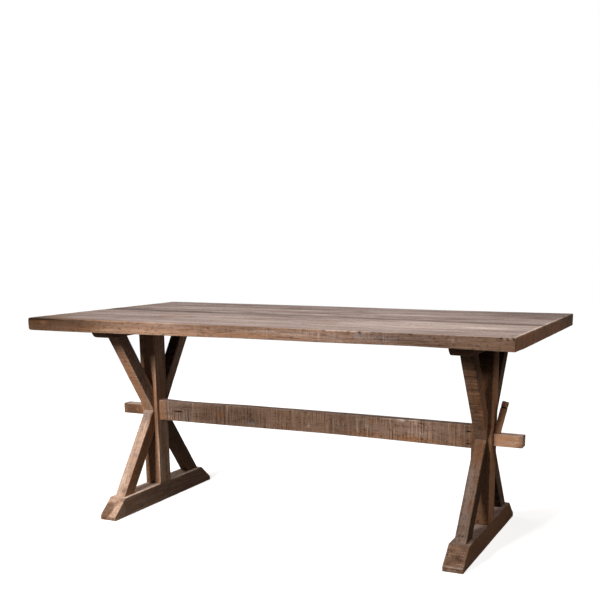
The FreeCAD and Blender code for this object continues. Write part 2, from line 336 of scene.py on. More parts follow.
def outline(size, radius, step, fixed):
    """Columns round a section: the place of each on the inner rectangle, from -1 to 1, and the way it
    faces, which turns through each rounded arris."""
    across, deep = (side_places(length - 2 * radius, step, places) for length, places in zip(size, fixed))
    core, angles = [], []
    for *side, angle in ((across, -1, -90), (1, deep, 0), (across[::-1], 1, 90), (-1, deep[::-1], 180)):
        side = np.stack(np.broadcast_arrays(*side), 1)
        core += [side, np.repeat(side[-1:], ARC_STEPS - 1, 0)]
        angles += [np.full(len(side), angle), angle + 90 * np.arange(1, ARC_STEPS) / ARC_STEPS]
    angles = np.radians(np.concatenate(angles))
    return np.concatenate(core), np.stack([np.cos(angles), np.sin(angles)], 1)


def bar_surface(along, limits, radius, ease, columns):
    """Surface of a bar: the section between its limits, across low and high and deep low and high,
    carried along it.  Each end draws in through a quarter circle of the ease, then shrinks in rings to
    the middle of the end grain.  Returns places, outward directions and distances to the nearest
    arris, the middle one of the distances to the three pairs of faces."""
    core, facing = columns
    last = len(along) - 1
    rings = len(CAP_RINGS)
    arc = np.radians(90 * np.arange(1, ARC_STEPS + 1) / ARC_STEPS)
    station = np.repeat(np.arange(last + 1), [rings + ARC_STEPS] + [1] * (last - 1) + [rings + ARC_STEPS])
    square = np.full(rings, math.pi / 2)
    tilt = np.concatenate([square, arc[::-1], np.zeros(last - 1), arc, square])
    share = np.concatenate([CAP_RINGS, np.ones(len(station) - 2 * rings), CAP_RINGS[::-1]])
    end = 1 * (station == last) - (station == 0)
    low, high = limits[::2, station].T, limits[1::2, station].T
    row_radius = radius * np.cos(tilt)[:, None]
    half = (high - low) / 2 - ease[1:] * (1 - np.cos(tilt))[:, None] - row_radius
    section = ((low + high) / 2)[:, None] + core * (share[:, None] * half)[:, None]
    section = section + facing * row_radius[:, None]
    flat = np.ones(section.shape[:2])
    places = np.dstack([(along[station] - end * ease[0] * (1 - np.sin(tilt)))[:, None] * flat, section])
    outward = np.dstack([(end * np.sin(tilt))[:, None] * flat, facing * np.cos(tilt)[:, None, None]])
    low, high = (np.insert(corner, 0, along[place], 1)[:, None] for corner, place in ((low, 0), (high, -1)))
    distance = np.maximum(np.sort(np.minimum(places - low, high - places), 2)[:, :, 1], 0)
    return places, outward, distance


def grid_faces(rows, columns, holes):
    """Faces of a closed tube: squares between its rows, less the cells of the holes, and at each end a
    fan to a middle point, numbered after the grid."""
    row, column = np.meshgrid(np.arange(rows - 1), np.arange(columns), indexing="ij")
    keep = np.ones(row.shape, bool)
    for row_low, row_high, column_low, column_high in holes:
        keep[row_low:row_high, column_low:column_high] = False
    row, column = row[keep] * columns, column[keep]
    after = (column + 1) % columns
    squares = np.stack([row + column, row + after, row + columns + after, row + columns + column], 1)
    ring = np.arange(columns)
    turned = (ring + 1) % columns
    base = (rows - 1) * columns
    start = np.stack([np.full(columns, rows * columns), turned, ring], 1)
    finish = np.stack([np.full(columns, rows * columns + 1), base + ring, base + turned], 1)
    return squares, np.concatenate([start, finish])


def hole_mouths(along, columns, inner_size, ends, half, axis, first):
    """First and last row and column of both mouths of a hole that lies between two places along a bar,
    a half to each side of its middle, and goes along an axis from the face that looks the first way."""
    core, facing = columns
    rows = sorted(len(CAP_RINGS) + ARC_STEPS - 1 + int(np.argmin(np.abs(along - end))) for end in ends)
    within = np.abs(core[:, 1 - axis]) < half / (inner_size[1 - axis] / 2) + TINY
    mouths = [np.flatnonzero(within & (np.abs(facing[:, axis] - way) < TINY)) for way in (first, -first)]
    return [(*rows, mouth[0], mouth[-1]) for mouth in mouths]


def rim(mouth, columns, mirrored):
    """Numbers of the grid points round a mouth, mirrored to pair with those of the mouth opposite."""
    row_low, row_high, low, high = mouth
    right, up = np.arange(low, high), np.arange(row_low, row_high)
    rows = np.concatenate([right * 0 + row_low, up, right * 0 + row_high, up[::-1] + 1])
    around = np.concatenate([right, up * 0 + high, right[::-1] + 1, up * 0 + low])
    return rows * columns + (low + high - around if mirrored else around)


def tunnel(points, rims, first_number):
    """New points and faces of a hole's wall: straight lines between partners on two rims, in steps."""
    share = np.arange(1, TUNNEL_STEPS)[:, None, None] / TUNNEL_STEPS
    inner = (points[rims[0]] * (1 - share) + points[rims[1]] * share).reshape(-1, 3)
    added = first_number + np.arange(len(inner)).reshape(TUNNEL_STEPS - 1, -1)
    numbers = np.concatenate([rims[:1], added, rims[1:]])
    ahead = np.roll(numbers, -1, axis=1)
    squares = np.stack([numbers[:-1], ahead[:-1], ahead[1:], numbers[1:]], 2)
    return inner, squares.reshape(-1, 4)


def enclosed_volume(points, squares, triangles):
    """Signed volume inside closed faces: positive where they face outward."""
    halves = np.concatenate([squares[:, [0, 1, 2]], squares[:, [0, 2, 3]], triangles])
    a, b, c = (points[halves[:, corner]] for corner in range(3))
    return np.sum(a * np.cross(b, c)) / 6


def add_object(name, data):
    """Object in the scene for a mesh, a lamp or a camera."""
    added = bpy.data.objects.new(name, data)
    bpy.context.scene.collection.objects.link(added)
    return added


def build_mesh(name, points, squares, triangles, attributes):
    """Mesh object from arrays, smooth, facing outward, with its attributes of three values a point."""
    if enclosed_volume(points, squares, triangles) < 0:
        squares, triangles = squares[:, ::-1], triangles[:, ::-1]
    mesh = bpy.data.meshes.new(name)
    loops = np.concatenate([squares.ravel(), triangles.ravel()])
    lengths = np.repeat([4, 3], [len(squares), len(triangles)])
    starts = np.cumsum(lengths) - lengths
    mesh.vertices.add(len(points))
    mesh.vertices.foreach_set("co", points.astype(np.float32).ravel())
    mesh.loops.add(len(loops))
    mesh.loops.foreach_set("vertex_index", loops.astype(np.int32))
    mesh.polygons.add(len(lengths))
    mesh.polygons.foreach_set("loop_start", starts.astype(np.int32))
    mesh.polygons.foreach_set("use_smooth", np.ones(len(lengths), bool))
    mesh.update(calc_edges=True)
    for label, values in attributes.items():
        layer = mesh.attributes.new(label, "FLOAT_VECTOR", "POINT")
        layer.data.foreach_set("vector", values.astype(np.float32).ravel())
    if mesh.validate():
        raise RuntimeError("mesh %s had faulty faces" % name)
    return add_object(name, mesh)


# ---- worn timber
DRIFT_CELL = (240, 60, 60)  # millimetres along, across and deep of a long hollow
RIPPLE_CELL = (45, 20, 20)  # of the ripples on it
RUB_CELL = (50, 12, 12)  # and of a rubbed stretch of an arris
KNOCK_REACH = (3.0, 9.0)  # smallest and largest reach of a knock, in millimetres
KNOCK_STRETCH = 1.6  # how much longer it is along the grain
GRAIN_SHIFT = (2.0, 0.05, 0.05)  # how far the place in the tree may be shifted, from timber to timber
ARRIS_RUB_REACH = 2.2 * MM  # how far from the arris the rubbing reaches
ARRIS_TINT_REACH = 3.5 * MM  # how far from the arris its colour changes
HOLE_PAINTED_SHADE = 0.3  # painted shade on the wall of a hole
CAP_MIDDLE_DISTANCE = 0.02  # distance from the arris of the middle of the end grain
DUST_AND_TOP_LIGHT = (0.30, 0.0, 0.0, 0.38, 0.0)  # what dust and wear, and painted light from above, change, in the order of a mark's changes


def dusty_and_lit(points, ways):
    """Upward faces keep dust and wear, which greys them, and are painted paler, in part for the light from
    above.
    """
    return smoothstep(0.5, 0.95, ways[:, 2:]) * DUST_AND_TOP_LIGHT


def even(points, ways):
    """No weathering."""
    return 0.0


def make_timber(name, node, along, limits, *, radius, ease, seed, tone, marks, knocks, axes=ALONG_X,
                origin=(0, 0, 0), finish="dry_pine_frame", size=None, fixed=((), ()), step=None, holes=(),
                shear=None, reshape=None, weathered=even):
    """One worn timber that stands for a node: a bar hollowed by long undulations, rubbed arrises,
    knocks and marks, and laid along its axes in the frame.

    Its attributes are the place in the tree (grain), nearness to an arris, saw marks and end grain
    (worn), brightness, warmth and darkness (tint), and weathering (skin).  The tone gives brightness,
    warmth, skin and saw marks; weathering and marks change them, in the order of a mark's changes.
    Some tones and marks, and the paler upward faces, are painted shade and painted light."""
    settings = sizes()
    limits = np.array(np.broadcast_arrays(*limits, along)[:4], float)
    ease = np.broadcast_to(ease, 3)
    size = np.max(limits[1::2] - limits[::2], 1) if size is None else np.array(size)
    columns = outline(size, radius, step or settings.mesh_step, fixed)
    places, outward, distance = bar_surface(along, limits, radius, ease, columns)
    rows, count = distance.shape
    middle = (limits[::2] + limits[1::2]) / 2
    points = np.concatenate([places.reshape(-1, 3), [(along[end], *middle[:, end]) for end in (0, -1)]])
    ways = np.concatenate([outward.reshape(-1, 3), [(-1, 0, 0), (1, 0, 0)]])
    distance = np.append(distance.ravel(), [CAP_MIDDLE_DISTANCE] * 2)
    end_grain = ways[:, 0] ** 2

    random = np.random.default_rng(seed)
    shape = shear(points) if shear else points
    drift = fractal_noise(points, DRIFT_CELL, seed, 1) * 0.5 + 0.5
    ripple = fractal_noise(points, RIPPLE_CELL, seed + 3, 2) * 0.5 + 0.5
    hollow = settings.undulation * (0.75 * drift + 0.25 * ripple)
    rub = np.clip(fractal_noise(points, RUB_CELL, seed + 5) * 0.5 + 0.55, 0, 1.4) ** 2
    hollow += settings.arris_wear * rub * np.exp(-(distance / ARRIS_RUB_REACH) ** 2)
    brightness, warmth, skin, saw = tone
    look = np.tile((brightness, warmth, 0.0, skin, saw), (len(points), 1)) + weathered(points, ways)
    for _ in range(knocks):
        centre = points[random.integers(len(points))]
        reach = random.uniform(*KNOCK_REACH) * MM
        dent = bell(points, centre, (reach * KNOCK_STRETCH, reach, reach))
        hollow += settings.dent_depth * random.uniform(0.3, 1.0) * dent
    for mark in marks:
        share = mark.share(points)
        hollow += mark.depth * share
        look += share[:, None] * mark.changes
    shape = shape - ways * hollow[:, None]
    world = origin + (reshape(shape) if reshape else shape) @ np.array(axes, float)

    holes = [hole_mouths(along, columns, size - 2 * radius, *hole) for hole in holes]
    squares, triangles = grid_faces(rows, count, itertools.chain(*holes))
    grain = points + random.uniform(-1, 1, 3) * GRAIN_SHIFT
    worn = np.stack([np.exp(-distance / ARRIS_TINT_REACH), look[:, 4] * (1 - end_grain), end_grain], 1)
    for one, two in holes:
        added, faces = tunnel(world, [rim(one, count, False), rim(two, count, True)], len(world))
        world, grain = np.concatenate([world, added]), np.concatenate([grain, added])
        squares = np.concatenate([squares, faces])
        worn = np.concatenate([worn, 0 * added])
        look = np.concatenate([look, np.tile((brightness, warmth, HOLE_PAINTED_SHADE, 0.0, saw), (len(added), 1))])
    piece = build_mesh(name, world, squares, triangles, {
        "grain": grain, "worn": worn, "tint": look[:, :3], "skin": look[:, 3:4] * (1, 0, 0)})
    piece.data.materials.append(finish_named(finish))
    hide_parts(node)
    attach(piece, body_of_node(node))


# ---- materials
def add_node(tree, kind, inputs=(), **settings):
    """Adds a shader node with its settings, and with values or links in its inputs, in order or by
    label.  Returns its outputs."""
    node = tree.nodes.new("ShaderNode" + kind)
    for label, value in settings.items():
        setattr(node, label, value)
    for label, value in (inputs if isinstance(inputs, dict) else dict(enumerate(inputs))).items():
        if isinstance(value, bpy.types.NodeSocket):
            tree.links.new(value, node.inputs[label])
        else:
            node.inputs[label].default_value = value
    return node.outputs


def empty_tree(owner):
    """Node tree of a new material or world, with no nodes in it."""
    owner.use_nodes = True
    owner.node_tree.nodes.clear()
    return owner.node_tree


def opaque(colour):
    """A property's colour with its alpha."""
    return (*colour, 1.0)


STAIN_SIZE = 2 * MM  # width of a patch of rust or dull zinc
WAVE_UNIT = math.pi / 10  # a wave texture's scale for rings one metre apart
PLAIN_IOR = 1.5  # of wax, wood and other plain coatings
MIXED = {"data_type": "RGBA"}  # settings of a node that mixes two colours
SMOOTH = {"interpolation_type": "SMOOTHSTEP"}  # and of one that rises smoothly from 0 to 1


def timber_finish(name, figure, streak, roughness, specular, relief):
    """Reclaimed pine, planed or band sawn and waxed thin: growth rings and fibres run with the grain,
    saw marks cross it, arrises are rubbed pale, and a grey skin lies over it in drifts."""
    settings, colours = sizes(), bpy.context.scene.sawbuck_colours
    material = bpy.data.materials.new(name)
    add = functools.partial(add_node, empty_tree(material))

    def noise(source, cell, detail=2.0, rough=0.55):
        """Value and colour of a noise whose cells have a size in millimetres along, across and deep."""
        scale = tuple(1 / (size * MM) for size in cell)
        scaled = add("VectorMath", (source, scale), operation="MULTIPLY")[0]
        return add("TexNoise", {"Vector": scaled, "Scale": 1.0, "Detail": detail, "Roughness": rough})

    def total(*products, constant=None):
        """Sum of products of two values, and a constant."""
        terms = [value if weight == 1 else add("Math", (value, weight), operation="MULTIPLY")[0]
                 for value, weight in products]
        if constant is not None:
            terms.append(constant)
        return functools.reduce(lambda one, two: add("Math", (one, two), operation="ADD")[0], terms)

    def shades(value, deep, body, pale):
        """Deep, body and pale colour in turn as the value rises."""
        result = opaque(deep)
        for low, high, colour in ((0.22, 0.50, body), (0.50, 0.80, pale)):
            share = add("MapRange", (value, low, high), **SMOOTH)[0]
            result = add("Mix", {0: share, 6: result, 7: opaque(colour)}, **MIXED)[2]
        return result

    grain = add("Attribute", attribute_name="grain")["Vector"]
    arris, sawn, end_grain, tone, warmth, dark, weathered = [
        part for label, count in (("worn", 3), ("tint", 3), ("skin", 1))
        for part in add("SeparateXYZ", (add("Attribute", attribute_name=label)["Vector"],))[:count]]
    wander = noise(grain, (450, 70, 70))["Color"]
    centred = add("VectorMath", (wander, (0.5, 0.5, 0.5)), operation="SUBTRACT")[0]
    bent = add("VectorMath", (centred, (0.0, 0.022, 0.022), grain), operation="MULTIPLY_ADD")[0]
    rings = add("TexWave", {"Vector": bent, "Scale": WAVE_UNIT / settings.ring_spacing, "Distortion": 0.0},
                wave_type="RINGS", rings_direction="X", wave_profile="SIN")["Fac"]
    late_wood = add("MapRange", (rings, 0.45, 0.95), **SMOOTH)[0]
    long, wide = streak
    fibre, ridge = settings.fibre_width / MM, settings.saw_spacing / MM
    broad = noise(bent, (long, wide, wide), 3.0, 0.6)[0]
    reddish = noise(bent, (long * 0.7, wide * 0.8, wide * 0.8), 2.0, 0.5)[0]
    medium = noise(bent, (140, 6, 6), 2.0, 0.6)[0]
    fine = noise(bent, (90, fibre, fibre), 3.0, 0.65)[0]
    drift = noise(grain, (350, 90, 90), 3.0)[0]
    patch = noise(grain, (50, 20, 20), 4.0, 0.6)[0]
    saw = noise(grain, (ridge, 110, 110), 2.0, 0.7)[0]
    scratch = total((noise(grain, (5 * ridge, 250, 250), 1.0, 0.5)[0], 1), constant=-0.5)
    scratch = add("Math", (scratch,), operation="ABSOLUTE")[0]
    scratch = add("MapRange", (scratch, 0.016, 0.0), **SMOOTH)[0]
    sawn = total((sawn, add("MapRange", (noise(grain, (60, 50, 50))[0], 0.30, 0.62), **SMOOTH)[0]))
    pits = add("MapRange", (noise(grain, (12, 4.5, 4.5))[0], 0.54, 0.70), **SMOOTH)[0]

    figure_rings, figure_fibres, figure_streaks, figure_saw = figure
    # The broad streaks are strongest in the weathered skin.
    streaks = total((total((broad, 1), constant=-0.5),
                     total((weathered, 0.7 * figure_streaks), constant=0.3 * figure_streaks)))
    sapwood = add("Math", (total((tone, 1), constant=-1.0), 0.0), operation="MAXIMUM")[0]
    value = total((fine, figure_fibres), (medium, 0.6 * figure_fibres), (sapwood, 0.8), (streaks, 1),
                  (late_wood, -0.22 * figure_rings), constant=0.5 - 0.80 * figure_fibres)
    warm = add("MapRange", (total((warmth, 1), (reddish, 1), constant=-0.5), 0.50, 1.05), **SMOOTH)[0]
    skinned = total((weathered, 1), (patch, 0.5), constant=-0.25)
    skinned = add("MapRange", (skinned, 0.15, 0.85), **SMOOTH)[0]
    rubbed = total((arris, add("MapRange", (patch, 0.40, 0.62), **SMOOTH)[0]))
    colour = shades(value, colours.wood_deep, colours.wood_body, colours.wood_pale)
    skin = shades(value, colours.skin_deep, colours.skin_body, colours.skin_pale)
    for share, strength, layer in ((warm, 0.8, opaque(colours.wood_warm)), (skinned, 1, skin),
                                   (rubbed, 0.40, opaque(colours.wood_pale)),
                                   (end_grain, 0.40, opaque(colours.wood_deep))):
        colour = add("Mix", {0: total((share, strength)), 6: colour, 7: layer}, **MIXED)[2]
    saw_level = total((total((saw, 1), constant=-0.5), sawn))
    level = total((drift, 0.35), (tone, 1.05), (saw_level, 1.8 * figure_saw),
                  (total((scratch, sawn)), 0.35 * figure_saw), (total((pits, tone)), -0.50), constant=-0.175)
    level = add("Math", (level, 0.05), operation="MAXIMUM")[0]
    colour = add("VectorMath", (colour, level), operation="MULTIPLY")[0]
    sooty = add("Math", (dark, 1.0), operation="MINIMUM")[0]
    colour = add("Mix", {0: sooty, 6: colour, 7: opaque(colours.soot)}, **MIXED)[2]

    height = total((fine, 0.5), (total((saw, sawn)), 1.5 * figure_saw), (late_wood, 0.3 * figure_rings))
    bump = add("Bump", {"Height": height, "Strength": 1.0, "Distance": relief})[0]
    gloss = total((fine, 0.25), constant=roughness - 0.125)
    shader = add("BsdfPrincipled", {"Base Color": colour, "Roughness": gloss, "Normal": bump,
                                    "IOR": PLAIN_IOR, "Specular IOR Level": specular})[0]
    add("OutputMaterial", (shader,))
    return material


def metal_finish(name, colour, stain, stained, metallic, roughness):
    """Metal with a stain in patches a few millimetres wide."""
    material = bpy.data.materials.new(name)
    add = functools.partial(add_node, empty_tree(material))
    place = add("TexCoord")["Object"]
    patches = add("TexNoise", {"Vector": place, "Scale": 1 / STAIN_SIZE, "Detail": 3.0})[0]
    share = add("MapRange", (patches, 0.45, 0.65, 0.0, stained))[0]
    colour = add("Mix", {0: share, 6: opaque(colour), 7: opaque(stain)}, **MIXED)[2]
    shader = add("BsdfPrincipled", {"Base Color": colour, "Roughness": roughness, "Metallic": metallic,
                                    "IOR": PLAIN_IOR})[0]
    add("OutputMaterial", (shader,))
    return material


# Strength of rings, fibres, streaks and saw marks; length and width of a streak in millimetres;
# roughness; specular level; relief.
RECIPES = {
    # Brushed and waxed: the wax gives the flat of the top a low sheen at a glance along it.
    "waxed_pine_top": ((0.5, 0.70, 1.0, 0.9), (450, 40), 0.75, 0.06, 0.30 * MM),
    # Planed by hand and left almost dry, so it hardly shines.
    "dry_pine_frame": ((0.25, 0.42, 0.8, 1.2), (500, 22), 0.85, 0.03, 0.35 * MM),
    # Straight from the band saw: crossed by close ridges that catch the light.
    "band_sawn_pine": ((0.15, 0.35, 0.8, 1.15), (100, 24), 0.85, 0.03, 0.50 * MM),
}


def finish_named(name):
    """A timber finish, made the first time it is asked for."""
    return bpy.data.materials.get(name) or timber_finish(name, *RECIPES[name])


# ---- pieces: the top
SEAM_EASE = 0.4 * MM
OUTER_EASE = 4.0 * MM
CORNER_RADIUS = 3.5 * MM
CHIPPED_X = ((0.27, 0.42), (0.818, 0.866))  # stretches of the front's arris with a fine mesh
THINNED_X = (-0.65, -0.15, 0.0, 0.27, 0.56, 0.87)
THINNED = (0.0, 0.62, 0.83, 0.75, 1.0, 0.35)  # the front board's share of the thinning at those places
CHIP_STEP = 2 * MM
HOLLOW_X = (0.38, 0.42)  # middle of the top's hollow along the table, and its reach
HOLLOW_Y = (-0.1, 0.45)  # where it begins across the table, and where it is deepest
# Shade and warmth that the edges of the top, and then its ends, have over its face.
EDGE_CHANGE, END_CHANGE = (-0.32, 0.1), (-0.08, 0.8)
# Brightness, warmth, skin and saw marks of the boards.
BOARD_TONES = [(*brightness_and_warmth, 0.0, 0.2) for brightness_and_warmth in (
    (0.98, 0.40), (0.99, 0.42), (1.03, 0.38), (0.98, 0.40),
    (0.95, 0.40), (0.98, 0.44), (0.92, 0.46), (0.88, 0.48))]

# Rows of marks: place, less the coordinate that a table shares, reach, and then shade, dark, depth,
# skin, warm, sharpness and saw.
END_X, FRONT_MM, TOP_MM = BOARDS[0][1, 0] / MM, BOARDS[0][0, 1] / MM, TOP_Z / MM
DARK_SEAM = [(-870, 12), (-560, -5), (-250, 0), (0, -12), (300, -30), (600, -50), (870, -60)]
RESIN_LINE = [(-470, -194), (-360, -200), (-200, -196), (0, -204), (110, -202), (300, -196)]
DARK_SPOTS = ((-560, 370), (-440, 345), (-200, 325), (120, 230), (325, 220), (430, 205), (70, 113),
              (168, 106), (-560, -38), (-455, -50), (-242, 42), (790, 220), (660, 305))
PALE_SPOTS = ((-540, 200), (-390, 196), (-250, 192), (300, 166), (410, 160), (45, 60), (200, 58),
              (680, -215), (760, -228), (470, -110), (-90, 205))
TOP_MARKS = [
    Streak(DARK_SEAM, TOP_MM, 23, 0.6, shade=-55, warm=10, skin=-20),
    Streak(DARK_SEAM[:3], TOP_MM, 46, 0.8, shade=-22, warm=15, skin=-20),
    Streak(RESIN_LINE, TOP_MM, 13, 1.5, shade=-14, warm=50, skin=-80),
    *(Mark(*spot, TOP_MM, 44, 18, 12, shade=-28, warm=40, skin=-50) for spot in DARK_SPOTS),
    *(Mark(*spot, TOP_MM, 70, 18, 12, shade=18) for spot in PALE_SPOTS),
]
TOP_MARKS += [Mark(x, y, TOP_MM, *rest) for x, y, *rest in (
    (-850, -410, 130, 120, 5, -48, 0, 0, -80, 15), (-860, 0, 60, 400, 20, -14, 0, 0, -40, 20),
    (-600, -250, 200, 200, 20, -6), (800, 400, 260, 200, 20, -26, 0, 0, -30, 20),
    (480, -220, 400, 150, 20, 15), (60, -150, 260, 130, 20, -8),
    (-560, -440, 230, 22, 5, -5, 0, 0, -90, 40), (60, -441, 320, 14, 5, -10, 0, 0, -70, 25),
    (700, -441, 200, 12, 5, -5, 0, 0, -40, 10),
)]
# The right end: a rubbed upper arris, a pale strip and the lines between boards.
END_MARKS = [Mark(END_X, y, z, *rest) for y, z, *rest in (
    (0, 760, 8, 600, 5, 38, 0, 0, 0, 0, 2), (-335, 750, 10, 10, 9, 40), (100, 730, 10, 50, 16, 20),
    (350, 738, 10, 120, 60, -12), (-250, 738, 10, 250, 60, 3, 0, 0, -20, 40),
    (-223, 738, 10, 4, 30, 0, 45), (-145, 738, 10, 4, 30, 0, 45), (-123, 738, 10, 4, 30, 0, 45),
    (50, 738, 10, 4, 30, 0, 45),
)]
# The front board: dark end, golden stretch, saw marks, and chips and a splintered part of its arris.
FRONT_MARKS = [Mark(x, FRONT_MM, z, *rest) for x, z, *rest in (
    (-900, 739, 300, 40, 60, -46, 0, 0, 0, 35, 1.5), (-420, 752, 260, 10, 12, -10, 0, 0, 30, 0, 2),
    (-800, 745, 12, 10, 8, 16), (-420, 728, 240, 20, 12, 12, 0, 0, 0, 15),
    (-300, 738, 160, 20, 30, 30, 0, 0, 10), (-610, 738, 90, 20, 30, -10, 0, 0, 0, 10),
    (-145, 738, 6, 6, 20, -16), (-40, 738, 5, 6, 20, -14), (50, 748, 220, 8, 14, 0, 0, 0, 35, 0, 1, 30),
    (20, 729, 110, 8, 5, 14, 0, 0, -30, 30), (270, 738, 170, 10, 30, 25, 0, 0, 38, 0, 1, 40),
    (500, 742, 130, 10, 22, -6, 0, 0, 35, 0, 1, 30), (700, 745, 200, 10, 22, 3, 0, 0, 25),
    (560, 734, 130, 8, 2.5, -12), (400, 746, 16, 4, 9, 16, 0, 0, 50), (268, 742, 4, 4, 14, 30),
    (284, 758, 5, 6, 4, 0, 90, 3.5), (402, 757, 4, 6, 6, 0, 90, 3), (365, 752, 5, 4, 6, 0, 50, 0.8),
    (330, 742, 4, 4, 14, 0, 25), (470, 733, 8, 4, 12, 0, 25), (690, 745, 5, 4, 9, 30),
    (698, 744, 5, 4, 5, 0, 45, 1.2), (470, 757, 4, 3, 3, 0, 80, 0.8), (562, 757, 4, 3, 3, 0, 80, 0.8),
    (640, 739, 190, 4, 1.4, 18), (846, 755, 20, 7, 5, -25, 0, 2.2), (828, 756, 3.5, 6, 4, 0, 95, 1.5),
    (864, 753, 3.5, 6, 6, 0, 90, 1.5), (848, 751, 6, 6, 2.5, 0, 80), (838, 754, 4, 5, 3, 70, 0, 0, 50),
    (854, 756, 5, 5, 3, 70, 0, 0, 50), (-870, 760, 7, 7, 7, 0, 0, 2.5), (-870, 716, 7, 7, 7, 0, 0, 2.5),
    (297, 759, 7, 5, 2.5, 45, 0, 1.6, 80, -30), (316, 759, 9, 5, 2.5, 45, 0, 1.6, 80, -30),
    (337, 759, 8, 5, 2.5, 45, 0, 1.6, 80, -30), (354, 759, 6, 5, 2.5, 45, 0, 1.6, 80, -30),
    (380, 759, 10, 5, 2.5, 45, 0, 1.6, 80, -30),
)]


def make_board(number):
    """One board of the top: its outer arrises are worn round and its joints only eased.  A quarter
    circle rounds the corners of the plan, a parabola crowns each board, the back lies lower in a bell
    along the table, and the front board is thinner from below, by a line of places along it."""
    settings = sizes()
    low, high = BOARDS[number - 1]
    first, last = number == 1, number == len(BOARDS)
    chips = [np.arange(*stretch, CHIP_STEP) for stretch in CHIPPED_X if first]
    along = row_places(low[0], high[0], np.concatenate([inside_ends(high[0], 1, 2.5, 4.5, 7, 10), *chips]))
    part = np.clip(1 - np.minimum(along - along[0], along[-1] - along) / CORNER_RADIUS, 0, 1)
    drawn = CORNER_RADIUS * (1 - np.sqrt(1 - part ** 2))

    def planed(places):
        """Crowns the board and takes off what was planed from the top."""
        x, y, z = places.T
        crown = settings.board_crown * ((y - (low[1] + high[1]) / 2) / (high[1] - low[1]) * 2) ** 2
        z = z - crown * (z - low[2]) / (high[2] - low[2])
        height = (z - UNDERSIDE_Z) / (TOP_Z - UNDERSIDE_Z)
        fall = settings.top_hollow * np.exp(-((x - HOLLOW_X[0]) / HOLLOW_X[1]) ** 2)
        fall = fall * smoothstep(*HOLLOW_Y, y)
        front = smoothstep(BOARDS[0][1, 1], BOARDS[0][0, 1], y)
        rise = settings.front_thinning * np.interp(x, THINNED_X, THINNED) * front
        return np.stack([x, y, z - fall * height + rise * (1 - height)], 1)

    def weathered(points, ways):
        """The face of the top is grey; its edges are brown wood, darker, and warmer at the ends."""
        face = smoothstep(0.2, 0.8, ways[:, 2])
        ends = smoothstep(0.3, 0.8, np.abs(ways[:, 0]))
        shade, warm = ((1 - face) * edge + ends * end for edge, end in zip(EDGE_CHANGE, END_CHANGE))
        return np.stack([shade, warm, 0 * face, face, 0 * face], 1)

    make_timber("board_%d" % number, "plank_%d" % number, along,
                (low[1] + drawn * first, high[1] - drawn * last, low[2], high[2]), radius=2.0 * MM,
                ease=(OUTER_EASE, SEAM_EASE, OUTER_EASE), seed=100 + number, tone=BOARD_TONES[number - 1],
                marks=TOP_MARKS + END_MARKS + FRONT_MARKS * first, knocks=14, finish="waxed_pine_top",
                reshape=planed, weathered=weathered)


# ---- pieces: the trestles
# Brightness, warmth, skin and saw marks of each timber: they come from different old boards and beams.  The
# right trestle's back struts are set darkest, in part painted shade, and the left upper back strut is set
# bright, in part painted light on its side.
TONES = {
    "foot_left": (1.12, 0.50, 0.15, 0.25), "foot_right": (0.58, 0.62, 0.22, 0.25),
    "post_left": (0.92, 0.72, 0.0, 0.35), "post_right": (0.50, 0.85, 0.0, 0.3),
    "bearer_left": (0.60, 0.60, 0.0, 0.5), "bearer_right": (0.42, 0.80, -0.3, 0.5),
    "strut_left_upper_front": (0.98, 0.60, 0.05, 1.0), "strut_left_upper_back": (1.30, 0.5, 0.1, 0.5),
    "strut_left_lower_front": (1.16, 0.0, 0.38, 0.5), "strut_left_lower_back": (0.78, 0.6, 0.0, 0.5),
    "strut_right_upper_front": (0.56, 0.65, 0.10, 1.0), "strut_right_upper_back": (0.32, 0.6, -0.3, 0.5),
    "strut_right_lower_front": (0.66, 0.58, 0.48, 0.22), "strut_right_lower_back": (0.26, 0.7, -0.4, 0.5),
    "stretcher": (0.57, 0.52, 0.13, 0.9),
    "tusk_left": (0.90, 0.8, 0.0, 0.3), "tusk_right": (0.72, 0.9, 0.0, 0.3),
}
NAIL_ACROSS = (-9.0, 3.0)  # the two nails at a strut's seat
NAIL_ALONG = 24.5  # their distance from the seat, along the strut
POST_NAIL_ALONG = 56.0  # distance of the third nail from the strut's other end
TOE_NAIL = (95.0, -12.0)  # height of the post's nail and its place from the middle
SCREW_Y = (-270.0, -160.0, -76.0, 62.0, 160.0, 270.0)
OPEN_NAILS = ("strut_right_lower_front",)  # struts whose seat nails show; the others are nearly filled
FILLED = 0.15  # how much of its dent and stain a filled nail shows
STUB_STEP = 6 * MM  # mesh step of the hidden stub tenons
NEAR_NAIL = np.array((-3.0, -1.5, 0.0, 1.5, 3.0))  # mesh places round a nail
NEAR_SCREW = np.array((-6.5, -4.5, 0.0, 4.5, 6.5))  # mesh places round a screw


def nail_marks(along, across, deep, strength=1.0):
    """The small dent over a nail's head and the dark stain round it."""
    place = (along, across, deep)
    return [Mark(*place, 2.6, 2.6, 3.0, depth=2.2 * strength, dark=90 * strength, sharpness=2),
            Mark(*place, 5.0, 5.0, 4.0, dark=20 * strength)]


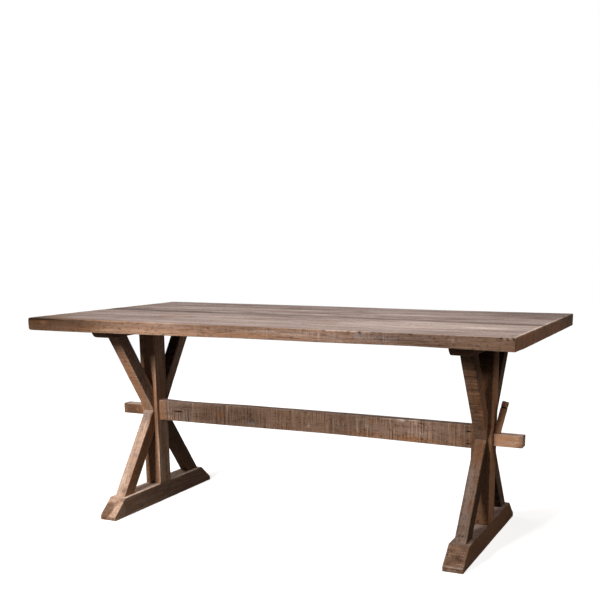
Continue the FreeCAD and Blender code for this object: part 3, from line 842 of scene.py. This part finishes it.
MARKS = {
    "strut_left_lower_front": [
        (345, 0, 0, 26, 60, 60, -32, 0, 0, 20, 20), (340, 20, 0, 22, 7, 8, -50, 0, 0, 0, 30),
        (284, -1, 0, 7, 5, 6, -40, 0, 0, 50), (174, 6, 0, 5, 10, 6, -40, 0, 0, 60),
        (27, 12, 0, 9, 8, 6, -35), (180, 21.5, 26, 400, 5, 60, -5, 0, 0, -70, 90, 2),
    ],
    "strut_left_upper_front": [
        (116, 6, 0, 4, 3.5, 5, 0, 70), (110, 6, 0, 16, 8, 6, -20),
        (200, 0, 0, 110, 20, 10, 0, 0, 0, 0, 25), (180, 21.5, 26, 400, 5, 60, 5, 0, 0, 30, 0, 2),
    ],
    "strut_right_lower_front": [
        (131, 5, 0, 24, 8, 8, -8, 0, 0, -20, 15), (330, 0, 0, 60, 40, 20, -10, 0, 0, -30, 20),
        (180, -21, 0, 400, 7, 8, -22, 0, 0, 0, 0, 1.5), (60, 0, 0, 60, 40, 10, -10),
        (180, 21.5, 26, 400, 4, 60, -50, 10, 0, -80, 40, 2),
    ],
    "strut_right_upper_front": [
        (242, 0, 0, 9, 7, 6, 0, 60), (317, 2, 0, 9, 7, 6, 0, 50),
        (200, 0, 0, 130, 30, 10, 10, 0, 0, 0, 20), (210, 21.5, 26, 200, 5, 60, 5, 0, 0, 0, 30),
        # The upper end of the +X face is darkened: a painted shadow of the top.
        (10, 21.5, 26, 80, 8, 60, -35),
    ],
    "stretcher": [
        (-622, -20, 372, 14, 12, 60, 12, 0, 0, 0, 40, 3, -80),
        (-545, -20, 372, 70, 8, 60, -16, 0, 0, 30, 0, 2, 10),
        (-350, -20, 372, 150, 8, 60, -24, 0, 0, 10, 0, 2, -35),
        (-120, -20, 372, 150, 8, 60, -8, 0, 0, 5, 0, 2, -20),
        (-548, -20, 370, 19, 4, 3, 0, 100, 1.5, 0, 0, 2), (-548, -20, 371, 27, 4, 2, 0, 100, 0, 0, 0, 2),
        (-357, -20, 380, 24, 8, 18, 6, 0, 0, 0, 50), (-255, -20, 367, 6, 8, 5, 0, 50),
        (-220, -20, 352, 26, 8, 9, 0, 0, 0, 50), (8, -20, 408, 5, 8, 8, 0, 60, 2),
        (18, -20, 360, 7, 8, 8, 35, 0, 0, 50), (0, -20, 385, 24, 8, 4, 0, 25),
        (155, -20, 394, 4, 8, 4, 0, 50), (180, -20, 372, 110, 8, 60, -4, 0, 0, 15, 0, 1.5),
        (440, -20, 372, 190, 8, 60, 29, 0, 0, 20, 0, 2, 60),
        (400, -20, 340, 230, 8, 14, 6, 0, 0, -30, 30), (375, -20, 411, 90, 8, 2, 25, 0, 1, 30, 0, 2),
        (385, -20, 409, 10, 8, 4, 50, 0, 0, 50), (398, -20, 409, 9, 6, 5, 0, 50, 2.4),
        (430, -20, 403, 4, 8, 10, 35), (-757, 0, 367, 52, 60, 60, -17, 0, 0, 0, 25, 4, -70),
        (-757, 0, 389, 52, 60, 4, 62, 0, 0, 35), (-742, -20, 364, 5, 6, 6, 45),
        (-796, -20, 360, 4, 6, 14, 30), (-722, -20, 367, 8, 6, 30, 25, 0, 0, 0, 40),
        (757, 0, 367, 52, 60, 60, 66, 0, 0, 0, 30, 4, -70), (757, 0, 389, 52, 60, 4, -40),
        (808, 0, 367, 4, 60, 60, 35), (622, 0, 389, 12, 60, 2.2, 0, 100, 3, 0, 0, 3),
        (622, 0, 347, 12, 60, 2.2, 0, 100, 3, 0, 0, 3), (634, -20, 370, 3, 8, 24, 0, 80, 0, 0, 0, 3),
    ],
    "foot_left": [
        (-297, -670, 40, 38, 60, 60, 8, 0, 0, -10, -30, 4),
        (-308, -687, 40, 28, 25, 60, -66, 0, 0, 20, 50, 6), (-284, -664, 60, 8, 7, 20, -30, 0, 0, 40),
        (-271, -640, 66, 5, 14, 12, -30), (-329, -690, 5, 4, 8, 4, 0, 60, 1.5),
        (-329, -664, 4, 4, 6, 4, 0, 60, 1.5), (-329, -648, 6, 4, 4, 4, 0, 50, 1),
        (-329, -670, 12, 10, 60, 12, 0, 0, 2.5), (250, -635, 36, 150, 8, 60, -5),
    ],
    "foot_right": [
        (-297, 670, 40, 38, 60, 60, 7, 0, 0, 0, 0, 4, 50), (-302, 678, 40, 7, 8, 30, 0, 70),
        (-306, 690, 40, 4, 5, 30, 0, 50), (-298, 664, 40, 3.5, 10, 30, 0, 40),
        (-296, 640, 40, 4, 5, 30, 0, 60), (-284, 648, 50, 3.5, 8, 30, 0, 35),
        (-317, 652, 30, 4, 7, 30, 0, 55), (-276, 691, 55, 5, 8, 20, 0, 45),
        (-326.5, 668, 17, 2, 60, 2.5, 40, 0, 0, 50, 0, 2), (-329, 670, 8, 3, 60, 7, 52),
        (-329, 646, 10, 4, 5, 3, 0, 60), (-329, 668, 12, 4, 8, 2.5, 0, 60),
        (-329, 688, 11, 4, 5, 3.5, 0, 70), (0, 705, 30, 400, 4, 60, -16, 0, 0, -30, 30, 3),
    ],
    "post_left": [
        # The +X face is lightened low and high, in part painted light; a stretch of the front face is
        # darkened.
        (200, -635, 0, 200, 5, 60, 45, 0, 0, 0, 0, 2), (600, -635, 0, 150, 8, 60, 35),
        (250, -698, -36, 120, 12, 6, -12, 0, 0, 20), (335, -640, -36, 70, 14, 6, -35),
    ],
    "strut_left_upper_back": [
        # The inner face is darkened to near black: painted shade.
        (180, 0, 52, 400, 60, 8, -110, 0, 0, 0, 0, 2),
    ],
    "strut_right_upper_back": [
        # The inner face is darkened: painted shade.
        (180, 0, 52, 400, 60, 8, -20, 0, 0, 0, 0, 2),
    ],
    "strut_right_lower_back": [
        # The inner face is darkened: painted shade.
        (180, 0, 52, 400, 60, 8, -20, 0, 0, 0, 0, 2),
    ],
    "post_right": [
        # The +X face is lightened, in part painted light from the right; the top of the front face is
        # darkened, a painted shadow of the top.
        (350, 705, 0, 320, 4, 60, 45, 0, 0, 0, 10, 3), (700, 670, -36, 110, 60, 30, -52),
        (394, 705, -16, 5, 4, 5, 0, 100), (82, 667, -36, 4.5, 4.5, 4, 0, 90, 0, 0, 0, 2),
    ],
}
MARKS = {node: [Mark(*row) for row in rows] for node, rows in MARKS.items()}


def make_foot(name, side):
    """Foot: its height is the soft minimum of the level and a straight slope to a short toe."""
    node = "foot_" + name
    low, high = span(node)
    near_break = FOOT_SLOPE_RUN / MM + np.array((-4, -2, 0, 2, 4))
    along = row_places(low[1], high[1], inside_ends(high[1], 1, 2, 3, 4.5, 6, *near_break))
    slope = low[2] + FOOT_TOE + (high[1] - np.abs(along)) * (high[2] - low[2] - FOOT_TOE) / FOOT_SLOPE_RUN
    falls = (np.exp((low[2] - line) / FOOT_BLUNTING) for line in (high[2], slope))
    height = low[2] - FOOT_BLUNTING * np.log(sum(falls))

    def dusty_and_lit_flat(points, ways):
        """The level part of the top is dusty and painted paler, the sloping ends aren't."""
        start = high[1] - FOOT_SLOPE_RUN
        return dusty_and_lit(points, ways) * smoothstep(start, start - 6 * MM, np.abs(points[:, :1]))

    make_timber("foot_timber_" + name, node, along, (low[0], high[0], low[2], height),
                radius=2.5 * MM, ease=2.5 * MM, axes=ALONG_Y, seed=200 + side, tone=TONES[node],
                marks=MARKS[node], knocks=14, weathered=dusty_and_lit_flat)


def make_bearer(name, side):
    """Bearer: its underside rises at each end in a quarter circle, nearly to the top."""
    node = "bearer_" + name
    low, high = span(node)
    near_ends = inside_ends(high[1], 0.5, 1, 2, 4, 7, 11, 16, 22, 30)
    near_screws = (np.array(SCREW_Y)[:, None] + NEAR_SCREW).ravel() * MM
    along = row_places(low[1], high[1], [*near_ends, *near_screws])
    part = np.clip((np.abs(along) - (high[1] - BEARER_ROUND)) / BEARER_ROUND, 0, 1)
    rise = BEARER_ROUND * (1 - np.sqrt(1 - part ** 2))
    x = side * TRESTLE_X / MM
    marks = [Mark(y, x, low[2] / MM, 5.6, 5.6, 3.0, depth=0.9, sharpness=4) for y in SCREW_Y]
    if name == "left":
        marks.append(Mark(-318, x, 705, 10, 60, 40, depth=3.0))  # its worn front end
    make_timber("bearer_timber_" + name, node, along,
                (low[0], high[0], low[2] + np.minimum(rise, BEARER_ROUND - BEARER_LIP), high[2]),
                radius=2.0 * MM, ease=1.5 * MM, axes=ALONG_Y, seed=210 + side, tone=TONES[node],
                marks=marks, knocks=6, fixed=(NEAR_SCREW * MM, ()))


def make_post(name, side):
    """Post with a stub tenon at each end and the stretcher's mortise through it."""
    node = "post_" + name
    low, high = span(node)
    middle = (low[0] + high[0]) / 2
    body = row_places(FOOT_TOP, BEARER_BOTTOM, [*TENON_Z, *(TOE_NAIL[0] + NEAR_NAIL) * MM])
    lower = row_places(low[2], FOOT_TOP, step=STUB_STEP)
    upper = row_places(BEARER_BOTTOM, high[2], step=STUB_STEP)
    is_body = np.repeat([False, True, False], [len(lower), len(body), len(upper)])
    half_x, half_y = (np.where(is_body, half, stub)
                      for half, stub in zip((TIMBER_HALF, POST_HALF), STUB_TENON_HALF))
    nail = nail_marks(TOE_NAIL[0], middle / MM + TOE_NAIL[1], low[1] / MM)
    make_timber("post_timber_" + name, node, np.concatenate([lower, body, upper]),
                (middle - half_x, middle + half_x, -half_y, half_y), radius=2.2 * MM, ease=1.0 * MM,
                axes=ALONG_Z, seed=220 + side, tone=TONES[node], marks=MARKS[node] + nail, knocks=14,
                fixed=((TOE_NAIL[1] + NEAR_NAIL) * MM, (-STRETCHER_HALF, STRETCHER_HALF)),
                holes=((TENON_Z, STRETCHER_HALF, 0, 1),))


def make_strut(name, side, level, face_name, face):
    """Strut: a straight bar whose rows run between two cuts across its depth, at its seat and at the
    post and the strut that it meets."""
    node = "strut_%s_%s_%s" % (name, level, face_name)
    seat = np.array((np.max(np.abs(span(node)[:, 1])), FOOT_TOP if level == "lower" else BEARER_BOTTOM))
    meeting = np.array((POST_HALF + STRUT_NIB, STRUT_MEETING))
    length = np.linalg.norm(meeting - seat)
    run = (meeting - seat) / length
    inward = np.array((-run[1], run[0])) * np.sign(run[1])
    inner = seat + inward * STRUT_DEPTH
    inner_seat = inner + run * ((seat[1] - inner[1]) / run[1])
    at_post = inner + run * ((POST_HALF - inner[0]) / run[0])
    nib = np.array((POST_HALF, STRUT_MEETING))
    cuts = [np.array([((point - seat) @ inward, (point - seat) @ run) for point in line]).T
            for line in ((seat, inner_seat), (meeting, nib, at_post))]

    def cut_ends(points):
        """Stretches each line along the bar between the cuts at its depth."""
        start, end = (np.interp(points[:, 2], *cut) for cut in cuts)
        return np.stack([start + (end - start) * (points[:, 0] / length), points[:, 1], points[:, 2]], 1)

    post_nail = length / MM - POST_NAIL_ALONG
    near_nails = [*(NAIL_ALONG + NEAR_NAIL) * MM, *(post_nail + NEAR_NAIL) * MM]
    beside_nails = np.concatenate([across + NEAR_NAIL for across in (*NAIL_ACROSS, 0.0)])
    dents = nail_marks(post_nail, 0.0, 0.0, FILLED)
    for across in NAIL_ACROSS:
        dents += nail_marks(NAIL_ALONG, across, 0.0, 1.0 if node in OPEN_NAILS else FILLED)
    make_timber("%s_strut_%s_%s" % (level, name, face_name), node,
                row_places(0.0, length, (1.5 * MM, length - 1.5 * MM, *near_nails)),
                (-STRUT_HALF, STRUT_HALF, 0, STRUT_DEPTH), radius=2.0 * MM, ease=0.8 * MM,
                axes=((0, face * run[0], run[1]), (1, 0, 0), (0, face * inward[0], inward[1])),
                origin=(side * TRESTLE_X, face * seat[0], seat[1]),
                seed=300 + 10 * (side + 1) + 4 * (level == "lower") + face, tone=TONES[node],
                marks=MARKS.get(node, []) + dents, knocks=6, fixed=(np.unique(beside_nails) * MM, ()),
                shear=cut_ends)


# ---- pieces: stretcher and tusks
# The stretcher's upper edge, worn unevenly: how far it lies below the frame's, in millimetres.
WORN_EDGE_X = (-0.635, -0.60, -0.55, -0.45, -0.27, -0.10, 0.20, 0.30, 0.50, 0.635)
WORN_EDGE = (2.5, 3.4, 5.0, 5.0, 1.5, 1.0, 0.0, 0.0, 0.5, 1.0)
ARCH_X = (0.12, 0.42)  # middle of the stretcher's arch, and its reach
CRACK_Z = 370 * MM  # height of the crack near the stretcher's left end
KERF_INSETS = np.array((26, 23, 15)) * MM  # mesh places beside the kerfs, from the right shoulder
SPLIT_Z = 480 * MM  # height of the split across a tusk's head
NEAR_LINE = np.array((-2.4, -1.2, 0.0, 1.2, 2.4)) * MM  # mesh places beside an arris or a crack
NEAR_SPLIT = np.array((-2.5, -1.2, 0, 1.2, 2.5)) * MM  # and beside the split
TUSK_STEP = 3 * MM  # mesh step of a tusk


def make_stretcher():
    """Stretcher: the body, arched by a bell, a tenon beyond each shoulder and a leaning slot down
    through each tenon."""
    low, high = STRETCHER
    tenon_middle = sum(TENON_Z) / 2
    shoulder = TRESTLE_X - TIMBER_HALF
    post_face = TRESTLE_X + TIMBER_HALF
    slot = (post_face - SLOT_SETBACK,
            post_face + 2 * SLOT_CLEARANCE + TUSK_WIDTH - (TUSK_BEND - tenon_middle) * TUSK_LEAN)
    half_slot = TUSK[1, 1] + SLOT_CLEARANCE
    body = row_places(-shoulder, shoulder, (*(shoulder - KERF_INSETS), *inside_ends(shoulder, 0.6, 2)))
    arm = row_places(shoulder, high[0], (*slot, high[0] - TENON_CHAMFER))
    x = np.concatenate([-arm[::-1], body, arm])
    is_body = np.abs(x) < shoulder - TINY  # the rows at the shoulders are the tenons' own
    arch = sizes().stretcher_arch * np.exp(-((x - ARCH_X[0]) / ARCH_X[1]) ** 2)
    bottom = np.where(is_body, low[2] + arch, TENON_Z[0])
    top = np.where(is_body, high[2] - MM * np.interp(x, WORN_EDGE_X, WORN_EDGE), TENON_Z[1])
    fine_lines = (np.array((*TENON_Z, CRACK_Z))[:, None] + NEAR_LINE).ravel() - (low[2] + high[2]) / 2

    def lean_slot(points):
        """Leans the rows at each slot's outer wall, fading out to its inner wall and to the tip."""
        x, y, z = points.T
        shift = np.interp(np.abs(x), (*slot, high[0]), (0, 1, 0)) * (z - tenon_middle) * TUSK_LEAN
        return np.stack([x + np.sign(x) * shift, y, z], 1)

    make_timber("stretcher_rail", "stretcher", x,
                (-STRETCHER_HALF, STRETCHER_HALF, bottom, top), radius=2.0 * MM, ease=TENON_CHAMFER,
                seed=400, tone=TONES["stretcher"], marks=MARKS["stretcher"], knocks=16,
                finish="band_sawn_pine", size=(2 * STRETCHER_HALF, high[2] - low[2]),
                fixed=((-half_slot, half_slot), fine_lines), shear=lean_slot, weathered=dusty_and_lit,
                holes=[(side * np.array(slot), half_slot, 1, -1) for side in SIDES.values()])


def make_tusk(name, side):
    """Tusk: its outer face leans, its inner face stands upright against the post and then leans."""
    low, high = TUSK
    along = row_places(low[2], high[2], (TUSK_BEND, *(NEAR_SPLIT + SPLIT_Z)), TUSK_STEP)
    lean = (along - TUSK_BEND) * TUSK_LEAN
    half = (high[1] - low[1]) / 2

    def slanted_crown(points):
        """Drops the outer side of the crown, square to the lean."""
        inner = low[0] + np.maximum((points[:, 0] - TUSK_BEND) * TUSK_LEAN, 0)
        drop = smoothstep(TUSK_BEND, high[2], points[:, 0]) * np.clip(points[:, 2] - inner, 0, TUSK_WIDTH)
        return points - drop[:, None] * (TUSK_LEAN, 0, 0)

    split = Mark(SPLIT_Z / MM, 0, 735, 3.0, 30, 30, depth=1.2, dark=100, sharpness=2)
    make_timber("tusk_wedge_" + name, "tusk_" + name, along,
                (-half, half, low[0] + np.maximum(lean, 0), low[0] + TUSK_WIDTH + lean), radius=1.5 * MM,
                ease=2.0 * MM, axes=((0, 0, 1), (0, 1, 0), (side, 0, 0)), seed=500 + side,
                tone=TONES["tusk_" + name], marks=[split], knocks=4, step=TUSK_STEP, shear=slanted_crown)


# ---- pieces: nails and screws
def finish_fixings():
    """The frame's own nails and screws, each in its metal."""
    colours = bpy.context.scene.sawbuck_colours
    # Old cut nails, black from the forge and rusting.
    iron = metal_finish("rusty_cut_iron", colours.iron, colours.rust, 0.8, 0.5, 0.65)
    # Zinc-plated steel, dulled to grey in places.
    zinc = metal_finish("zinc_plated_steel", colours.zinc, colours.zinc_dull, 0.5, 1.0, 0.35)
    for name in SIDES:
        for node, finish in (("nails_" + name, iron), ("screws_" + name, zinc)):
            materials = frame["nodes"][node].data.materials
            materials.clear()
            materials.append(finish)


# ---- the stage
FLOOR_HALF = 12.0
FLOOR_GLOW = (0.9, 2.6, 0.74, 1.0)  # two distances from the middle, and the glow at each
FLOOR_BOUNCE = (0.12, 0.12, 0.12, 1)  # colour of the light that the floor throws back
WHITE = (1, 1, 1, 1)
# Place, target, width and height, colour and spread in degrees of each lamp, named for its power.
LAMPS = {
    "front_lamp": ((-0.62, -3.3, 1.88), (-0.7, -0.3, 0.45), (0.75, 0.6), (1.0, 0.97, 0.93), 105),
    "side_lamp": ((2.7, -1.0, 2.1), (0.7, 0.0, 0.5), (0.9, 0.9), (1.0, 0.95, 0.9), 120),
    "left_lamp": ((-2.6, 0.7, 1.4), (-0.6, 0.0, 0.1), (0.9, 0.9), (1.0, 0.96, 0.95), 180),
    "low_lamp": ((2.9, -1.7, 0.5), (-0.2, -0.1, 0.3), (0.9, 0.6), (1.0, 0.94, 0.88), 180),
    "overhead_lamp": ((0.35, 0.0, 2.6), (0.2, 0.0, 0.7), (1.8, 1.2), (0.97, 0.98, 1.0), 180),
}


def make_camera(stage):
    """Camera at its place, turned by yaw, pitch and roll."""
    data = bpy.data.cameras.new("camera")
    data.lens = stage.lens
    data.sensor_width = 36.0
    data.shift_x, data.shift_y = stage.shift
    data.clip_end = 100.0
    camera = add_object("camera", data)
    turn = Euler((math.pi / 2 + stage.camera_pitch, 0, stage.camera_yaw)).to_matrix().to_4x4()
    roll = Matrix.Rotation(stage.camera_roll, 4, "Z")
    camera.matrix_world = Matrix.Translation(stage.camera_place) @ turn @ roll
    bpy.context.scene.camera = camera


def make_lamp(name, power, place, target, size, colour, spread):
    """Rectangular soft lamp that looks from its place to a target."""
    data = bpy.data.lights.new(name, "AREA")
    data.shape = "RECTANGLE"
    data.size, data.size_y = size
    data.energy = power
    data.spread = math.radians(spread)
    data.color = colour
    lamp = add_object(name, data)
    lamp.location = place
    lamp.rotation_mode = "QUATERNION"
    lamp.rotation_quaternion = (Vector(target) - Vector(place)).to_track_quat("-Z", "Y")


def seen_share(add):
    """1 for what the camera sees, straight, mirrored or through glass, and 0 for light that spreads."""
    path = add("LightPath")
    shown = add("Math", (path["Is Camera Ray"], path["Is Glossy Ray"]), operation="MAXIMUM")[0]
    return add("Math", (shown, path["Is Transmission Ray"]), operation="MAXIMUM")[0]


def make_floor(colours):
    """Pale painted studio floor that keeps a soft shadow."""
    corners = [(x * FLOOR_HALF, y * FLOOR_HALF, 0) for x, y in ((-1, -1), (1, -1), (1, 1), (-1, 1))]
    mesh = bpy.data.meshes.new("studio_floor")
    mesh.from_pydata(corners, [], [(0, 1, 2, 3)])
    floor = add_object("studio_floor", mesh)
    material = bpy.data.materials.new("pale_studio_floor")
    add = functools.partial(add_node, empty_tree(material))
    spread = add("BsdfDiffuse", (FLOOR_BOUNCE,))[0]
    painted = add("BsdfDiffuse", (opaque(colours.floor),))[0]
    distance = add("VectorMath", (add("TexCoord")["Object"],), operation="LENGTH")["Value"]
    glow = add("Emission", (WHITE, add("MapRange", (distance, *FLOOR_GLOW))[0]))[0]
    seen = add("AddShader", (painted, glow))[0]
    add("OutputMaterial", (add("MixShader", (seen_share(add), spread, seen))[0],))
    mesh.materials.append(material)


def make_world(level):
    """White where the camera looks past the floor, and a low even light for everything else."""
    world = bpy.data.worlds.new("studio")
    bpy.context.scene.world = world
    add = functools.partial(add_node, empty_tree(world))
    strength = add("Math", (seen_share(add), 1.0 - level), operation="MULTIPLY")[0]
    strength = add("Math", (strength, level), operation="ADD")[0]
    add("OutputWorld", (add("Background", (WHITE, strength))[0],))


# ---- operators
def on_both_sides(make):
    """Makes a piece on the left and on the right."""
    for name, side in SIDES.items():
        make(name, side)
    return {"FINISHED"}


class SAWBUCK_OT_boards(bpy.types.Operator):
    """Lays the eight boards of the top"""
    bl_idname = "sawbuck.boards"
    bl_label = "Lay the boards"

    def execute(self, context):
        for number in range(1, len(BOARDS) + 1):
            make_board(number)
        return {"FINISHED"}


class SAWBUCK_OT_feet(bpy.types.Operator):
    """Makes the two feet"""
    bl_idname = "sawbuck.feet"
    bl_label = "Make the feet"

    def execute(self, context):
        return on_both_sides(make_foot)


class SAWBUCK_OT_posts(bpy.types.Operator):
    """Makes the two posts"""
    bl_idname = "sawbuck.posts"
    bl_label = "Make the posts"

    def execute(self, context):
        return on_both_sides(make_post)


class SAWBUCK_OT_bearers(bpy.types.Operator):
    """Makes the two bearers"""
    bl_idname = "sawbuck.bearers"
    bl_label = "Make the bearers"

    def execute(self, context):
        return on_both_sides(make_bearer)


class SAWBUCK_OT_struts(bpy.types.Operator):
    """Makes the eight struts"""
    bl_idname = "sawbuck.struts"
    bl_label = "Make the struts"

    def execute(self, context):
        for side, level, face in itertools.product(SIDES.items(), ("upper", "lower"), FACES.items()):
            make_strut(*side, level, *face)
        return {"FINISHED"}


class SAWBUCK_OT_stretcher(bpy.types.Operator):
    """Makes the stretcher"""
    bl_idname = "sawbuck.stretcher"
    bl_label = "Make the stretcher"

    def execute(self, context):
        make_stretcher()
        return {"FINISHED"}


class SAWBUCK_OT_tusks(bpy.types.Operator):
    """Makes the two tusks"""
    bl_idname = "sawbuck.tusks"
    bl_label = "Make the tusks"

    def execute(self, context):
        return on_both_sides(make_tusk)


class SAWBUCK_OT_fixings(bpy.types.Operator):
    """Gives the nails and screws their metal"""
    bl_idname = "sawbuck.fixings"
    bl_label = "Finish the nails and screws"

    def execute(self, context):
        finish_fixings()
        return {"FINISHED"}


class SAWBUCK_OT_stage(bpy.types.Operator):
    """Sets up the floor, lamps, world and camera"""
    bl_idname = "sawbuck.stage"
    bl_label = "Set the stage"

    def execute(self, context):
        stage = context.scene.sawbuck_stage
        make_floor(context.scene.sawbuck_colours)
        make_world(stage.world_level)
        for name, recipe in LAMPS.items():
            make_lamp(name, getattr(stage, name), *recipe)
        make_camera(stage)
        context.scene.view_settings.view_transform = "Standard"
        return {"FINISHED"}


OPERATORS = (SAWBUCK_OT_boards, SAWBUCK_OT_feet, SAWBUCK_OT_posts, SAWBUCK_OT_bearers, SAWBUCK_OT_struts,
             SAWBUCK_OT_stretcher, SAWBUCK_OT_tusks, SAWBUCK_OT_fixings, SAWBUCK_OT_stage)
GROUPS = {"sawbuck_sizes": SawbuckSizes, "sawbuck_colours": SawbuckColours, "sawbuck_stage": SawbuckStage}


class SAWBUCK_PT_builder(bpy.types.Panel):
    """Lists the table's settings and the operators that build it"""
    bl_label = "Sawbuck table"
    bl_idname = "SAWBUCK_PT_builder"
    bl_space_type = "VIEW_3D"
    bl_region_type = "UI"
    bl_category = "Sawbuck"

    def draw(self, context):
        for group in GROUPS:
            box = self.layout.box()
            settings = getattr(context.scene, group)
            for label in settings.__annotations__:
                box.prop(settings, label)
        for operator in OPERATORS:
            self.layout.operator(operator.bl_idname)


def register():
    """Registers the classes and hangs the settings on the scene."""
    for cls in (*GROUPS.values(), *OPERATORS, SAWBUCK_PT_builder):
        bpy.utils.register_class(cls)
    for name, group in GROUPS.items():
        setattr(bpy.types.Scene, name, bpy.props.PointerProperty(type=group))


def unregister():
    """Takes the settings off the scene and the classes out again."""
    for name in GROUPS:
        delattr(bpy.types.Scene, name)
    for cls in reversed((*GROUPS.values(), *OPERATORS, SAWBUCK_PT_builder)):
        bpy.utils.unregister_class(cls)


def main():
    """Builds the table and its stage."""
    register()
    for operator in OPERATORS:
        group, call = operator.bl_idname.split(".")
        getattr(getattr(bpy.ops, group), call)()


if __name__ == "__main__":
    main()
